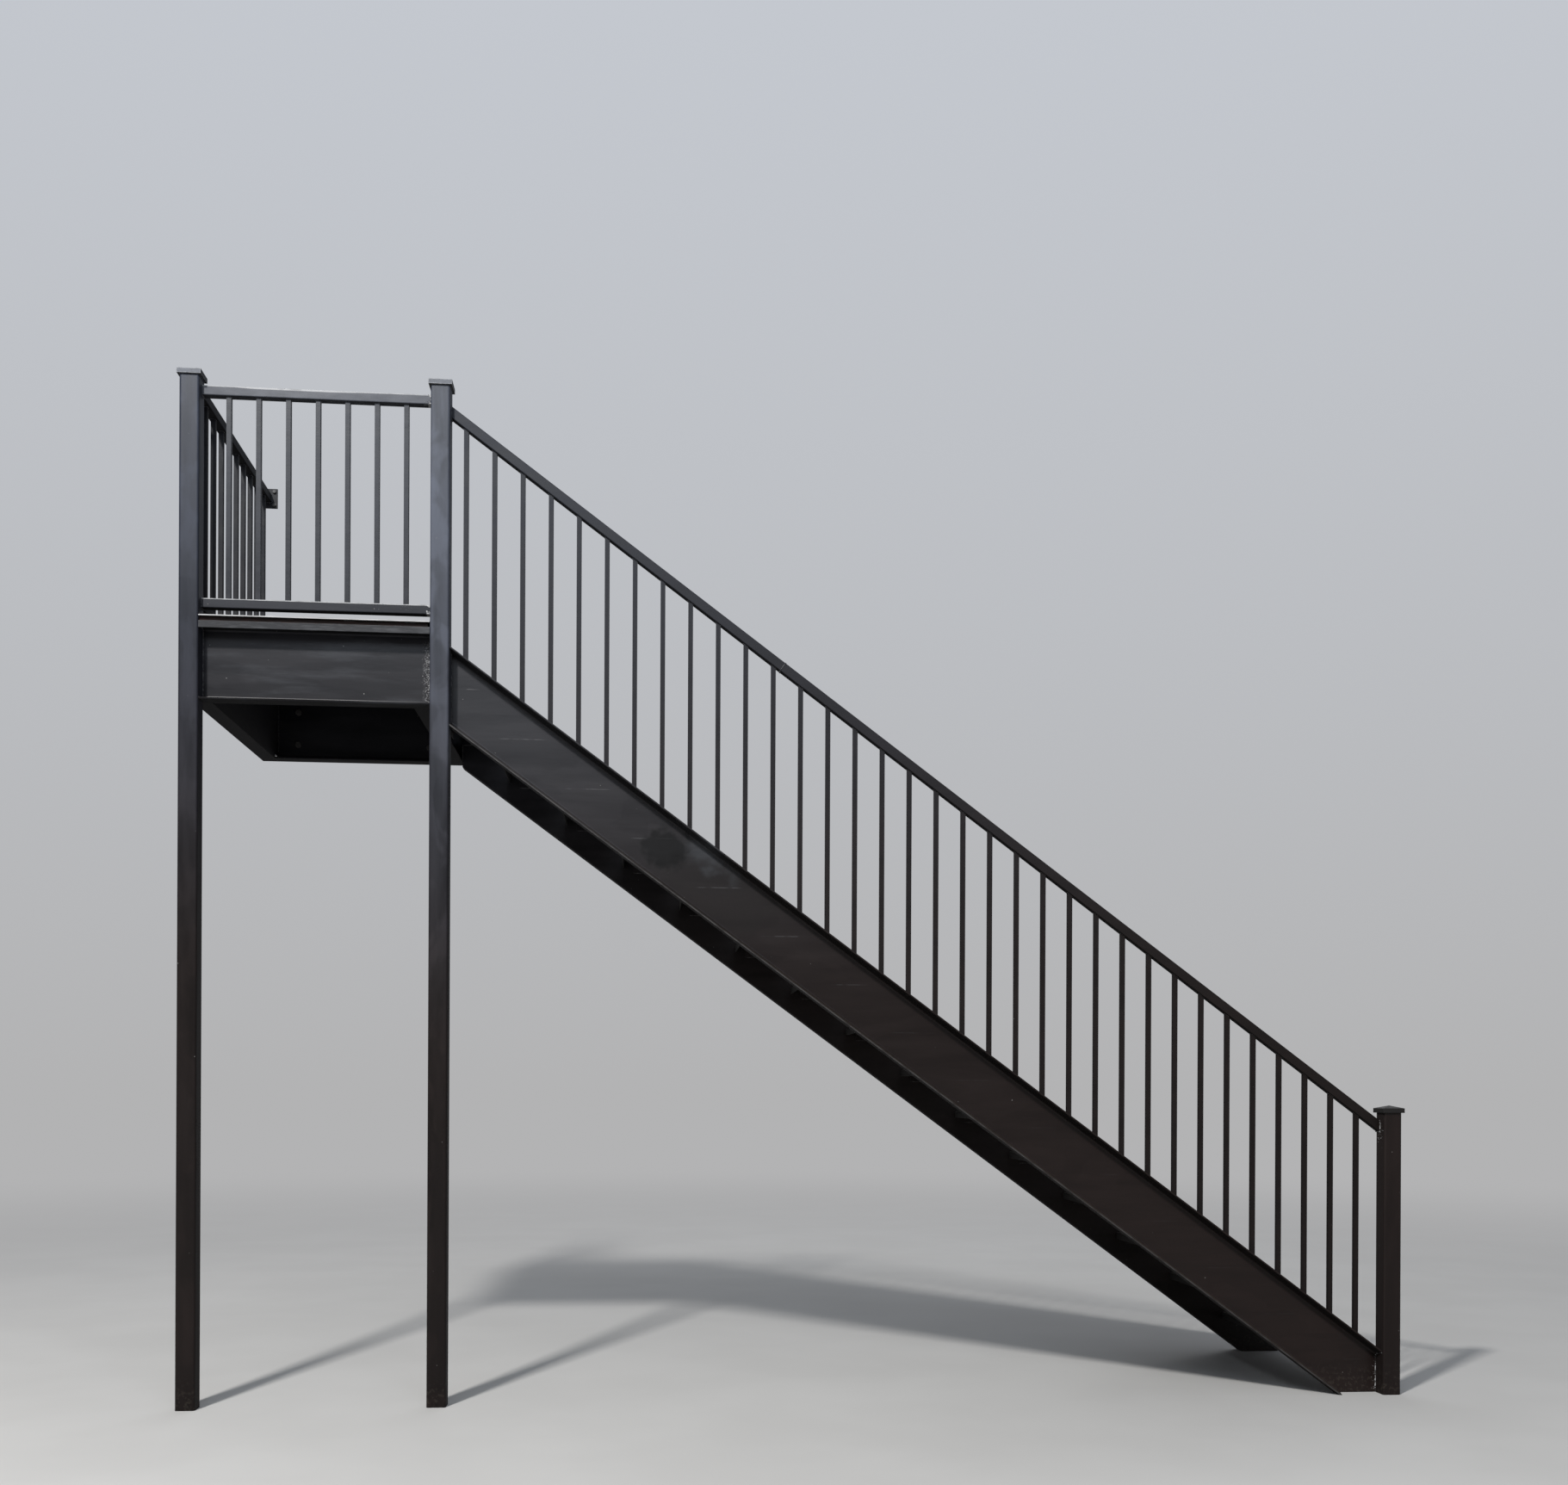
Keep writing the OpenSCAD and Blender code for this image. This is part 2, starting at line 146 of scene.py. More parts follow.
# Materials
class Tree:
    """Short words for building the nodes of a material or a world."""

    def __init__(self, owner, output="ShaderNodeOutputMaterial", shader="ShaderNodeBsdfPrincipled"):
        self.mat = owner
        owner.use_nodes = True
        self.tree = owner.node_tree
        self.tree.nodes.clear()
        self.out = self.node(output)
        self.shader = self.node(shader)
        self.tree.links.new(self.shader.outputs[0], self.out.inputs[0])
        self.place = self.node("ShaderNodeTexCoord").outputs["Object"]
        self.normal = self.node("ShaderNodeNewGeometry").outputs["Normal"]

    def node(self, kind, **values):
        made = self.tree.nodes.new(kind)
        for key, value in values.items():
            setattr(made, key, value)
        return made

    def put(self, socket, value):
        """Links a socket to another one, or sets its value."""
        if isinstance(value, bpy.types.NodeSocket):
            self.tree.links.new(value, socket)
        else:
            socket.default_value = value

    def mapping(self, scale, rotation=(0, 0, 0), shift=(0, 0, 0)):
        made = self.node("ShaderNodeMapping")
        self.put(made.inputs["Vector"], self.place)
        made.inputs["Scale"].default_value = scale
        made.inputs["Rotation"].default_value = rotation
        made.inputs["Location"].default_value = shift
        return made.outputs[0]

    def noise(self, vector, scale, detail=3.0, rough=0.5, warp=0.0):
        made = self.node("ShaderNodeTexNoise")
        self.put(made.inputs["Vector"], vector)
        for key, value in (("Scale", scale), ("Detail", detail), ("Roughness", rough), ("Distortion", warp)):
            made.inputs[key].default_value = value
        return made.outputs[0]

    def cells(self, vector, scale):
        """Distance to the nearest cell's point, and that cell's random color."""
        made = self.node("ShaderNodeTexVoronoi")
        self.put(made.inputs["Vector"], vector)
        made.inputs["Scale"].default_value = scale
        return made.outputs["Distance"], made.outputs["Color"]

    def ramp(self, value, start, end, to_start=0.0, to_end=1.0):
        """A smooth step from to_start to to_end as the value goes from start to end."""
        made = self.node("ShaderNodeMapRange", interpolation_type="SMOOTHSTEP")
        self.put(made.inputs[0], value)
        for k, number in enumerate((start, end, to_start, to_end)):
            made.inputs[k + 1].default_value = number
        return made.outputs[0]

    def math(self, operation, *values):
        made = self.node("ShaderNodeMath", operation=operation)
        for socket, value in zip(made.inputs, values):
            self.put(socket, value)
        return made.outputs[0]

    def add(self, first, second):
        return self.math("ADD", first, second)

    def times(self, first, second):
        return self.math("MULTIPLY", first, second)

    def mix(self, factor, first, second):
        made = self.node("ShaderNodeMix", data_type="RGBA")
        self.put(made.inputs["Factor"], factor)
        for socket, value in ((made.inputs[6], first), (made.inputs[7], second)):
            self.put(socket, value if isinstance(value, bpy.types.NodeSocket) else (*value, 1))
        return made.outputs[2]

    def parts(self, vector):
        made = self.node("ShaderNodeSeparateXYZ")
        self.put(made.inputs[0], vector)
        return made.outputs

    def shown(self):
        """1 for what the camera sees, straight on or in a reflection."""
        ray = self.node("ShaderNodeLightPath").outputs
        mirrored = self.math("MAXIMUM", ray["Is Glossy Ray"], ray["Is Transmission Ray"])
        return self.math("MAXIMUM", ray["Is Camera Ray"], mirrored)

    def shade(self, color, factor):
        """A color made lighter or darker by a factor that varies over the surface."""
        made = self.node("ShaderNodeVectorMath", operation="SCALE")
        self.put(made.inputs[0], color)
        self.put(made.inputs["Scale"], factor)
        return made.outputs[0]

    def facing_up(self):
        return self.ramp(self.parts(self.normal)[2], 0.35, 0.9)

    def facing_down(self):
        return self.ramp(self.parts(self.normal)[2], -0.5, -0.9)

    def facing_front(self):
        return self.ramp(self.parts(self.normal)[1], -0.5, -0.9)

    def facing_aside(self):
        return self.ramp(self.math("ABSOLUTE", self.parts(self.normal)[0]), 0.6, 0.95)

    def soft_edges(self, radius):
        """The normal with softened edges, and a mask that is 1 on sharp edges and 0 on flat faces."""
        made = self.node("ShaderNodeBevel", samples=4)
        made.inputs["Radius"].default_value = radius
        dot = self.node("ShaderNodeVectorMath", operation="DOT_PRODUCT")
        self.put(dot.inputs[0], made.outputs[0])
        self.put(dot.inputs[1], self.normal)
        return made.outputs[0], self.ramp(dot.outputs["Value"], 0.995, 0.86)

    def bump(self, height, strength, distance, normal=None):
        made = self.node("ShaderNodeBump")
        made.inputs["Strength"].default_value = strength
        made.inputs["Distance"].default_value = distance
        self.put(made.inputs["Height"], height)
        if normal:
            self.put(made.inputs["Normal"], normal)
        return made.outputs[0]

    def finish(self, color, roughness, normal, specular=0.20):
        self.put(self.shader.inputs["Base Color"], color)
        self.put(self.shader.inputs["Roughness"], roughness)
        self.put(self.shader.inputs["Normal"], normal)
        self.shader.inputs["Specular IOR Level"].default_value = specular
        return self.mat


# How brush marks lie: stretched along a post, a level member, a side member or the flight, or not at all
UPRIGHT = ((1.0, 1.0, 0.12), (0, 0, 0))
ALONG_X = ((0.12, 1.0, 1.0), (0, 0, 0))
ALONG_Y = ((1.0, 0.12, 1.0), (0, 0, 0))
ALONG_FLIGHT = ((0.12, 1.0, 1.0), (0, -ANGLE, 0))
ALL_WAYS = ((0.6, 0.6, 0.6), (0, 0, 0))

# Colours of the paint, high up and near the ground. The change from one to the other with height is painted
# light: a bluer sky reflection high up and darker, browner shade low down.
SLATE = (0.040, 0.045, 0.059)
BROWN_BLACK = (0.0095, 0.0062, 0.0056)

# Colours of wear, dirt, weld metal and painted highlights
BARE_EDGE_AND_HIGHLIGHT = (0.20, 0.20, 0.205)
CHALK = (0.42, 0.415, 0.40)
DUST = (0.15, 0.130, 0.105)
WELD_SHINE = (0.60, 0.60, 0.61)
RUST = (0.050, 0.022, 0.018)
RUST_LINE = (0.16, 0.12, 0.11)
SCRATCH = (0.16, 0.162, 0.17)
RUBBED = (0.095, 0.097, 0.105)
BLEACHED = (0.105, 0.112, 0.132)
CORNER_HIGHLIGHT = (0.46, 0.465, 0.48)
WELD_SPLASH = (0.48, 0.48, 0.49)
SCRAPED_LIP_AND_HIGHLIGHT = (0.62, 0.62, 0.63)
CAP_EDGE = (0.52, 0.53, 0.55)
WEB_SMEAR = (0.092, 0.098, 0.112)
CHALKY_STRIP = (0.34, 0.34, 0.35)
CLEAT_LINE = (0.11, 0.11, 0.115)
TAIL_TONE = (0.010, 0.0078, 0.0074)
HAZE_TONE = (0.085, 0.092, 0.104)
MARK_TONE = (0.004, 0.004, 0.0045)
WORN_TOE = (0.085, 0.080, 0.079)

# Heights between which the foot's colour turns into the top's, from painted shade low down to a painted sky
# reflection high up
FADE = (1.6, 4.2)
STRINGER_FADE = (1.6, 2.9)
STAIR_POST_FADE = (1.3, 3.9)

# Where wear, painted highlights and painted shade show. In each pair an effect starts at the first place and
# is whole at the second.
GROUND_SPLASH_Z = (0.16, 0.0)
BLEACHED_Z = (TOP_RAIL_Z - 0.002, TOP_RAIL_Z + 0.002)
MIDWAY_START_X, MIDWAY_END_X = (0.12, 0.28), (0.72, 0.52)
CORNER_DEPTH, CORNER_DEPTH_MIDWAY = 0.0045, 0.0080
WELD_SPLASH_X = (EDGE_X - 0.050, EDGE_X - 0.006)
LOWER_TOE_Z = (CHANNEL_FOOT + 0.015, CHANNEL_FOOT + 0.011)
STRIP_X = (EDGE_X - 0.040, EDGE_X - 0.018)
STRIP_TOP_Z = (CHANNEL_TOP - 0.03, CHANNEL_TOP - 0.06)
STRIP_FOOT_Z = (CHANNEL_FOOT + 0.010, CHANNEL_FOOT + 0.022)
CLEAT_LINE_START = (-CLEAT_LENGTH - 0.015, -CLEAT_LENGTH + 0.03)
CLEAT_LINE_END = (-0.006, -0.06)
CLEAT_LINE_HALF = (0.0034, 0.0008)
STRINGER_TOE, STRINGER_TOE_DEPTH = (0.022, 0.018), (0.004, 0.001)

# Middles and half sizes of the marks on the near stringer's web, in x and z
MARK_PLACE, MARK_HALF = (1.864, 2.240), (0.098, 0.080)
HAZE_PLACE, HAZE_HALF = (2.010, 2.222), (0.125, 0.056)
TAIL_PLACE, TAIL_HALF = (2.080, 2.060), (0.330, 0.200)


def scaled(color, k):
    return tuple(k * c for c in color)


def enamel(name, nodes, lay, top=SLATE, foot=BROWN_BLACK, gloss=(0.32, 0.44), dust=0.3, worn=0.35, cloud=0.16,
           chalky=0.02, patchy=0.0, fade=FADE, round_off=0.0018, extra=None):
    """Brushed black enamel on nodes of the frame: clouds, lap marks, dust, worn edges and chalky specks, with
    painted shade, painted highlights along edges and a painted sky reflection that grows with height.
    """
    t = Tree(bpy.data.materials.new(name))
    z = t.parts(t.place)[2]
    scale, rotation = lay

    # Uneven paint, with a painted sky reflection that grows with height and painted shade on the sides and
    # undersides
    clouds = t.noise(t.mapping(scale, rotation, (3.1, 1.7, 0.4)), 15.0, 3.0, 0.5, 0.3)
    strokes = t.noise(t.mapping(scale, rotation), 110.0, 3.0, 0.6)
    lap_scale = tuple(0.6 * s + 0.15 for s in scale)
    laps = t.noise(t.mapping(lap_scale, rotation, (8.3, 4.4, 2.9)), 9.0, 2.0, 0.4, 0.6)
    lap = t.ramp(laps, 0.51, 0.54)
    # Painted light: darker, browner shade near the ground, turning into a bluer sky reflection higher up
    color = t.mix(t.ramp(z, *fade), foot, top)
    tone = t.add(t.ramp(clouds, 0.3, 0.7, 1 - cloud, 1 + cloud), t.times(lap, 0.10))
    tone = t.add(tone, t.ramp(strokes, 0.55, 0.30, 0.0, -0.08))
    blots = t.noise(t.mapping((1.0, 1.0, 0.50), (0, 0, 0), (6.2, 3.3, 1.1)), 10.0, 3.0, 0.5, 0.4)
    patch = t.ramp(blots, 0.46, 0.62)
    tone = t.add(tone, t.times(patch, patchy))
    under, aside = t.facing_down(), t.facing_aside()
    # Painted shade: darker on the sides and undersides
    painted_side_and_under_shade = t.times(t.ramp(under, 0.0, 1.0, 1.0, 0.25), t.ramp(aside, 0.0, 1.0, 1.0, 0.75))
    color = t.shade(color, t.times(tone, painted_side_and_under_shade))

    # Dust on what faces up, and splashes of soil near the ground
    grit = t.noise(t.place, 60.0, 4.0, 0.65)
    settled = t.times(t.facing_up(), t.ramp(grit, 0.35, 0.7, 0.4, 1.0))
    splash = t.times(t.ramp(z, *GROUND_SPLASH_Z), t.ramp(grit, 0.50, 0.64))
    dusty = t.times(t.math("MAXIMUM", settled, t.times(splash, 0.6)), dust)
    color = t.mix(dusty, color, DUST)

    # Edges lighter, partly rubbed bare and partly a painted highlight, and chalky specks
    soft, edge = t.soft_edges(round_off)
    rub = t.ramp(t.noise(t.place, 34.0, 5.0, 0.7), 0.46, 0.64)
    color = t.mix(t.times(t.times(edge, rub), worn), color, BARE_EDGE_AND_HIGHLIGHT)
    spot, lot = t.cells(t.place, 62.0)
    spot = t.add(spot, t.ramp(grit, 0.3, 0.7, -0.05, 0.05))
    chosen = t.ramp(t.parts(lot)[0], 1 - chalky, 1.002 - chalky)
    pale = t.ramp(t.parts(lot)[1], 0.0, 1.0, 0.15, 0.75)
    color = t.mix(t.times(t.times(t.ramp(spot, 0.12, 0.05), chosen), pale), color, CHALK)

    # Gloss, dull on the sides and undersides, and brush strokes in relief
    rough = t.ramp(clouds, 0.3, 0.72, gloss[0], gloss[1])
    rough = t.add(t.add(rough, t.times(lap, 0.04)), t.times(dusty, 0.6))
    rough = t.add(rough, t.add(t.times(under, 0.65), t.times(aside, 0.40)))
    rough = t.add(rough, t.times(patch, 0.10 * patchy))
    normal = t.bump(t.noise(t.place, 420.0, 2.0), 0.08, 0.0006, soft)
    normal = t.bump(strokes, 0.10, 0.0008, normal)
    normal = t.bump(clouds, 0.20, 0.0030, normal)
    if extra:
        color, rough, normal = extra(t, color, rough, normal)
    for node in nodes:
        for material_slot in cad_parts[node].material_slots:
            material_slot.material = t.mat
    return t.finish(color, rough, normal)


def weld_metal(name, bare):
    """Painted weld metal. bare is how much of it shines through the paint."""
    t = Tree(bpy.data.materials.new(name))
    grain = t.noise(t.place, 420.0, 3.0, 0.6)
    patch = t.noise(t.place, 120.0, 3.0, 0.6)
    glint = t.times(t.ramp(patch, 0.44, 0.60), bare)
    # Painted light: the same darker foot and bluer top as the enamel's, painted shade below and a painted sky
    # reflection above
    color = t.mix(t.ramp(t.parts(t.place)[2], *FADE), scaled(BROWN_BLACK, 1.1), scaled(SLATE, 0.9))
    color = t.mix(glint, color, WELD_SHINE)
    normal = t.bump(grain, 0.35, 0.0008)
    return t.finish(color, t.ramp(grain, 0.3, 0.7, 0.28, 0.5), normal)


def packing_rust(t, color, rough, normal):
    """Rusty streaks along the packing bars, where water stands under the deck plate."""
    streak = t.noise(t.mapping((2.2, 2.2, 40)), 12.0, 5.0, 0.65)
    color = t.mix(t.ramp(streak, 0.42, 0.66, 0.0, 0.6), color, RUST)
    line = t.noise(t.mapping((1.6, 1.6, 160)), 9.0, 2.0)
    color = t.mix(t.ramp(line, 0.62, 0.70, 0.0, 0.4), color, RUST_LINE)
    return color, t.add(rough, 0.12), normal


def edge_scratches(t, color, rough, normal):
    """Long light scratches and rubbed paint along the edge bar."""
    marks = t.noise(t.mapping((2.0, 30, 190)), 8.0, 2.0, 0.5)
    color = t.mix(t.ramp(marks, 0.57, 0.68, 0.0, 0.45), color, SCRATCH)
    smear = t.noise(t.mapping((3.0, 8, 20)), 5.0, 3.0)
    color = t.mix(t.ramp(smear, 0.46, 0.72, 0.0, 0.5), color, RUBBED)
    return color, rough, normal


def bleached_top_and_corner_highlight(t, color, rough, normal):
    """The landing's rails: the top one bleached, both with a painted highlight along the top corner, with
    weld splashes.
    """
    x, _, z = t.parts(t.place)
    band = t.ramp(z, *BLEACHED_Z)
    patch = t.noise(t.mapping((0.5, 1, 1)), 26.0, 4.0, 0.6)
    color = t.mix(t.times(band, t.ramp(patch, 0.25, 0.75, 0.55, 1.0)), color, BLEACHED)
    midway = t.times(t.ramp(x, *MIDWAY_START_X), t.ramp(x, *MIDWAY_END_X))
    deeper = t.ramp(midway, 0.0, 1.0, CORNER_DEPTH, CORNER_DEPTH_MIDWAY)
    # Painted highlight along each rail's top front corner, wider midway along the top rail
    for top, depth in ((TOP_RAIL_Z + RAIL, deeper), (LOW_RAIL_Z + RAIL, CORNER_DEPTH)):
        under = t.math("SUBTRACT", top, z)
        strip = t.times(t.math("LESS_THAN", under, depth), t.math("GREATER_THAN", under, -0.001))
        strip = t.times(strip, t.ramp(t.parts(t.normal)[1], -0.10, -0.35))
        color = t.mix(t.times(strip, t.ramp(patch, 0.30, 0.55, 0.40, 0.85)), color, CORNER_HIGHLIGHT)
    near = t.ramp(x, *WELD_SPLASH_X)
    for foot in (TOP_RAIL_Z, LOW_RAIL_Z):
        off = t.math("ABSOLUTE", t.math("SUBTRACT", z, foot + RAIL / 2))
        outer = t.ramp(off, 0.3 * RAIL / 2, 0.9 * RAIL / 2, 0.26, 0.46)
        outer = t.times(outer, t.ramp(off, RAIL, 0.8 * RAIL))
        splash = t.ramp(t.add(t.noise(t.place, 62.0, 4.0, 0.65), t.times(near, outer)), 0.84, 0.90)
        color = t.mix(splash, color, WELD_SPLASH)
    return color, t.add(rough, t.times(band, 0.06)), normal


def scraped_and_lit_lip(t, color, rough, normal):
    """The deck plate's front edge, scraped bright, with a painted highlight along it."""
    scrape = t.noise(t.mapping((1.2, 30, 60)), 9.0, 3.0, 0.6)
    # Painted highlight on the front edge, mixed with scraped wear
    lip = t.times(t.facing_front(), t.ramp(scrape, 0.30, 0.62, 0.45, 1.0))
    return t.mix(lip, color, SCRAPED_LIP_AND_HIGHLIGHT), rough, normal


def cap_weathering_and_side_shade(t, color, rough, normal):
    """Mottled pale paint on the landing posts' caps, with thin dark streaks, edges worn light and painted
    shade on the side faces.
    """
    mottle = t.noise(t.mapping((1.0, 1.0, 2.4)), 70.0, 4.0, 0.65)
    streak = t.noise(t.mapping((1.0, 1.0, 9.0), (0, 0.03, 0)), 38.0, 3.0, 0.6)
    tone = t.add(t.ramp(mottle, 0.3, 0.7, 0.78, 1.16), t.ramp(streak, 0.58, 0.72, 0.0, -0.30))
    color = t.shade(color, tone)
    _, edge = t.soft_edges(0.0052)
    color = t.mix(t.times(edge, t.ramp(mottle, 0.36, 0.56, 0.35, 0.9)), color, CAP_EDGE)
    # Painted shade on the side faces
    color = t.shade(color, t.ramp(t.facing_aside(), 0.0, 1.0, 1.0, 0.50))
    return color, t.add(rough, t.ramp(mottle, 0.3, 0.7, -0.05, 0.08)), normal


def spatter_strip_and_toe_shade(t, color, rough, normal):
    """Cloudy smears on the landing's front web, a chalky strip beside the stair post and painted shade on the
    lower toe.
    """
    x, _, z = t.parts(t.place)
    # Painted shade on the lower toe, which also gets rougher
    toe = t.ramp(z, *LOWER_TOE_Z)
    color = t.shade(color, t.ramp(toe, 0.0, 1.0, 1.0, 0.45))
    rough = t.add(rough, t.times(toe, 0.55))
    smear = t.noise(t.mapping((0.4, 1, 2.6), (0, 0.04, 0), (1.9, 0, 0.7)), 8.0, 4.0, 0.6, 0.2)
    color = t.mix(t.ramp(smear, 0.46, 0.76, 0.0, 0.26), color, WEB_SMEAR)
    strip = t.ramp(x, *STRIP_X)
    grain = t.noise(t.place, 150.0, 3.0, 0.7)
    grain = t.times(strip, t.ramp(grain, 0.48, 0.60))
    grain = t.times(grain, t.ramp(z, *STRIP_TOP_Z))
    grain = t.times(grain, t.ramp(z, *STRIP_FOOT_Z))
    color = t.mix(t.times(grain, 0.55), color, CHALKY_STRIP)
    return color, t.add(rough, t.times(strip, 0.10)), t.bump(grain, 0.5, 0.0010, normal)


def cleat_lines(t, color, rough, normal):
    """Faint level lines on the web where each tread's cleat is welded behind it."""
    x, _, z = t.parts(t.place)
    weld_drop = TREAD_T + CLEAT_LEG
    drop = t.math("SUBTRACT", DECK_TOP - weld_drop, z)
    step = t.math("ROUND", t.math("DIVIDE", drop, RISER))
    off = t.math("ABSOLUTE", t.math("SUBTRACT", drop, t.times(step, RISER)))
    nosing = t.math("MULTIPLY_ADD", step, RUN, high(TREADS[0]).x - RUN)
    along = t.math("SUBTRACT", x, nosing)
    inside = t.times(t.ramp(along, *CLEAT_LINE_START), t.ramp(along, *CLEAT_LINE_END))
    fade = t.ramp(t.noise(t.mapping((6, 1, 2)), 3.0, 2.0), 0.40, 0.58, 0.10, 1.0)
    fade = t.times(fade, t.ramp(z, 1.3, 2.3, 0.12, 1.0))
    line = t.times(t.times(t.ramp(off, *CLEAT_LINE_HALF), inside), fade)
    color = t.mix(t.times(line, 0.42), color, CLEAT_LINE)
    return color, rough, t.bump(line, 0.5, 0.0006, normal)


def blot(t, place, half, wobble, turn=0.0):
    """Distance from the middle of an uneven oval, 1 at its edge. turn tips its long side down the flight."""
    x, _, z = t.parts(t.place)
    off_x, off_z = t.math("SUBTRACT", x, place[0]), t.math("SUBTRACT", z, place[1])
    across = t.add(t.times(off_x, math.cos(turn) / half[0]), t.times(off_z, -math.sin(turn) / half[0]))
    upward = t.add(t.times(off_x, math.sin(turn) / half[1]), t.times(off_z, math.cos(turn) / half[1]))
    ring = t.math("SQRT", t.add(t.times(across, across), t.times(upward, upward)))
    return t.add(ring, t.ramp(t.noise(t.place, 14.0, 3.0), 0.2, 0.8, -wobble, wobble))


def rubbed_web(t, color, rough, normal):
    """The near stringer's cleat lines, one dark rub mark with a pale haze beside it, and a worn lower toe."""
    x, y, z = t.parts(t.place)
    color = t.shade(color, t.ramp(z, 0.5, 1.4, 1.15, 0.85))
    tail = t.ramp(blot(t, TAIL_PLACE, TAIL_HALF, 0.25), 1.3, 0.5)
    color = t.mix(t.times(tail, 0.55), color, TAIL_TONE)
    color, rough, normal = cleat_lines(t, color, rough, normal)
    mark = t.ramp(blot(t, MARK_PLACE, MARK_HALF, 0.35), 1.2, 0.7)
    haze = t.ramp(blot(t, HAZE_PLACE, HAZE_HALF, 0.45, ANGLE), 1.5, 0.2)
    cloud = t.noise(t.mapping((0.7, 1, 1.3), (0, -ANGLE, 0)), 10.0, 3.0, 0.5, 0.4)
    haze = t.times(haze, t.ramp(cloud, 0.34, 0.60, 0.35, 1.0))
    color = t.mix(t.times(haze, 0.50), color, HAZE_TONE)
    color = t.mix(t.times(mark, 0.88), color, MARK_TONE)
    rough = t.add(rough, t.add(t.times(mark, 0.26), t.times(tail, 0.10)))

    foot = t.math("MULTIPLY_ADD", x, -SLOPE, stringer_top(0) - STRINGER_DEPTH / math.cos(ANGLE))
    above = t.math("SUBTRACT", z, foot)
    front = [low("near_stringer").y + depth for depth in STRINGER_TOE_DEPTH]
    toe = t.times(t.ramp(above, *STRINGER_TOE), t.ramp(y, *front))
    worn = t.ramp(t.noise(t.mapping(*ALONG_FLIGHT), 30.0, 4.0, 0.6), 0.35, 0.60, 0.25, 0.8)
    color = t.mix(t.times(t.times(toe, t.facing_front()), worn), color, WORN_TOE)
    return color, rough, normal


PLATE_PAINT = ((0.036, 0.037, 0.041), (0.024, 0.022, 0.021), (0.40, 0.56))

# Painted light: the outer post's copy of the paint is darker and the stair post's lighter, painted shade and
# a painted highlight
enamel("outer_post_enamel", ["outer_post"], UPRIGHT, (0.030, 0.036, 0.053), cloud=0.24, patchy=0.35)
enamel(
    "stair_post_enamel", ["stair_post"], UPRIGHT, scaled(SLATE, 1.36), cloud=0.28, patchy=0.6,
    fade=STAIR_POST_FADE,
)
enamel("newel_post_enamel", ["newel_post"], UPRIGHT, SLATE, scaled(BROWN_BLACK, 1.7), cloud=0.14)
enamel(
    "front_guard_enamel", ["landing_front_guard"], ALONG_X, scaled(SLATE, 0.72), worn=0.15, extra=bleached_top_and_corner_highlight
)
# Painted shade: the side guard's copy of the paint is darkened
enamel(
    "side_guard_enamel", ["landing_side_guard", "guard_wall_plates"], ALONG_Y, scaled(SLATE, 0.35),
    gloss=(0.50, 0.60), worn=0.1,
)
# Painted shade: the flight guard's paint is darker than the plain slate at its top
enamel(
    "flight_guard_enamel", ["flight_guard"], ALONG_FLIGHT, scaled(SLATE, 0.60), gloss=(0.46, 0.58), worn=0.06
)
enamel(
    "front_channel_enamel", ["landing_front_channel"], ALONG_X, scaled(SLATE, 0.5), worn=0.06, chalky=0.07,
    extra=spatter_strip_and_toe_shade,
)
enamel("channel_enamel", ["landing_wall_channel"], ALONG_X, scaled(SLATE, 0.6))
enamel("side_channel_enamel", ["landing_side_channel", "landing_stair_channel"], ALONG_Y, scaled(SLATE, 0.5))
enamel(
    "stringer_enamel", ["near_stringer"], ALONG_FLIGHT, (0.0350, 0.0350, 0.0400), scaled(BROWN_BLACK, 1.7),
    worn=0.2, cloud=0.12, fade=STRINGER_FADE, extra=rubbed_web,
)
enamel("far_stringer_enamel", ["far_stringer"], ALONG_FLIGHT, scaled(SLATE, 0.8))
enamel("packing_enamel", ["deck_packing"], ALONG_X, BROWN_BLACK, BROWN_BLACK, (0.5, 0.66), extra=packing_rust)
enamel(
    "edge_bar_enamel", ["landing_edge_bar"], ALONG_X, (0.030, 0.031, 0.035), (0.024, 0.024, 0.027),
    extra=edge_scratches,
)
enamel("tread_enamel", TREADS, ALONG_Y, *PLATE_PAINT, dust=0.45, worn=0.6)
enamel("deck_enamel", ["landing_deck"], ALONG_Y, *PLATE_PAINT, dust=0.45, worn=0.8, extra=scraped_and_lit_lip)
lug_mat = enamel(
    "lug_enamel", [], ALL_WAYS, (0.085, 0.085, 0.088), (0.066, 0.063, 0.060), (0.34, 0.48), dust=0.2,
    worn=0.9,
)
enamel("cleat_enamel", ["near_tread_cleats", "far_tread_cleats", "deck_joists"], ALONG_X, scaled(SLATE, 0.7))
enamel(
    "cap_enamel", ["outer_post_cap", "stair_post_cap"], ALL_WAYS, (0.150, 0.160, 0.185), (0.13, 0.13, 0.132),
    (0.42, 0.58), dust=0.4, worn=0.3, extra=cap_weathering_and_side_shade,
)
enamel(
    "newel_cap_enamel", ["newel_post_cap"], ALL_WAYS, scaled(BROWN_BLACK, 1.8), (0.0190, 0.0178, 0.0176),
    (0.34, 0.46), dust=0.15, worn=0.1, chalky=0.0, round_off=0.0050,
)
bolt_mat = enamel("bolt_enamel", [], ALL_WAYS, (0.070, 0.070, 0.073), (0.050, 0.048, 0.047), worn=0.8)
weld_mat = weld_metal("painted_weld", 0.10)
bare_weld_mat = weld_metal("bare_weld", 0.85)


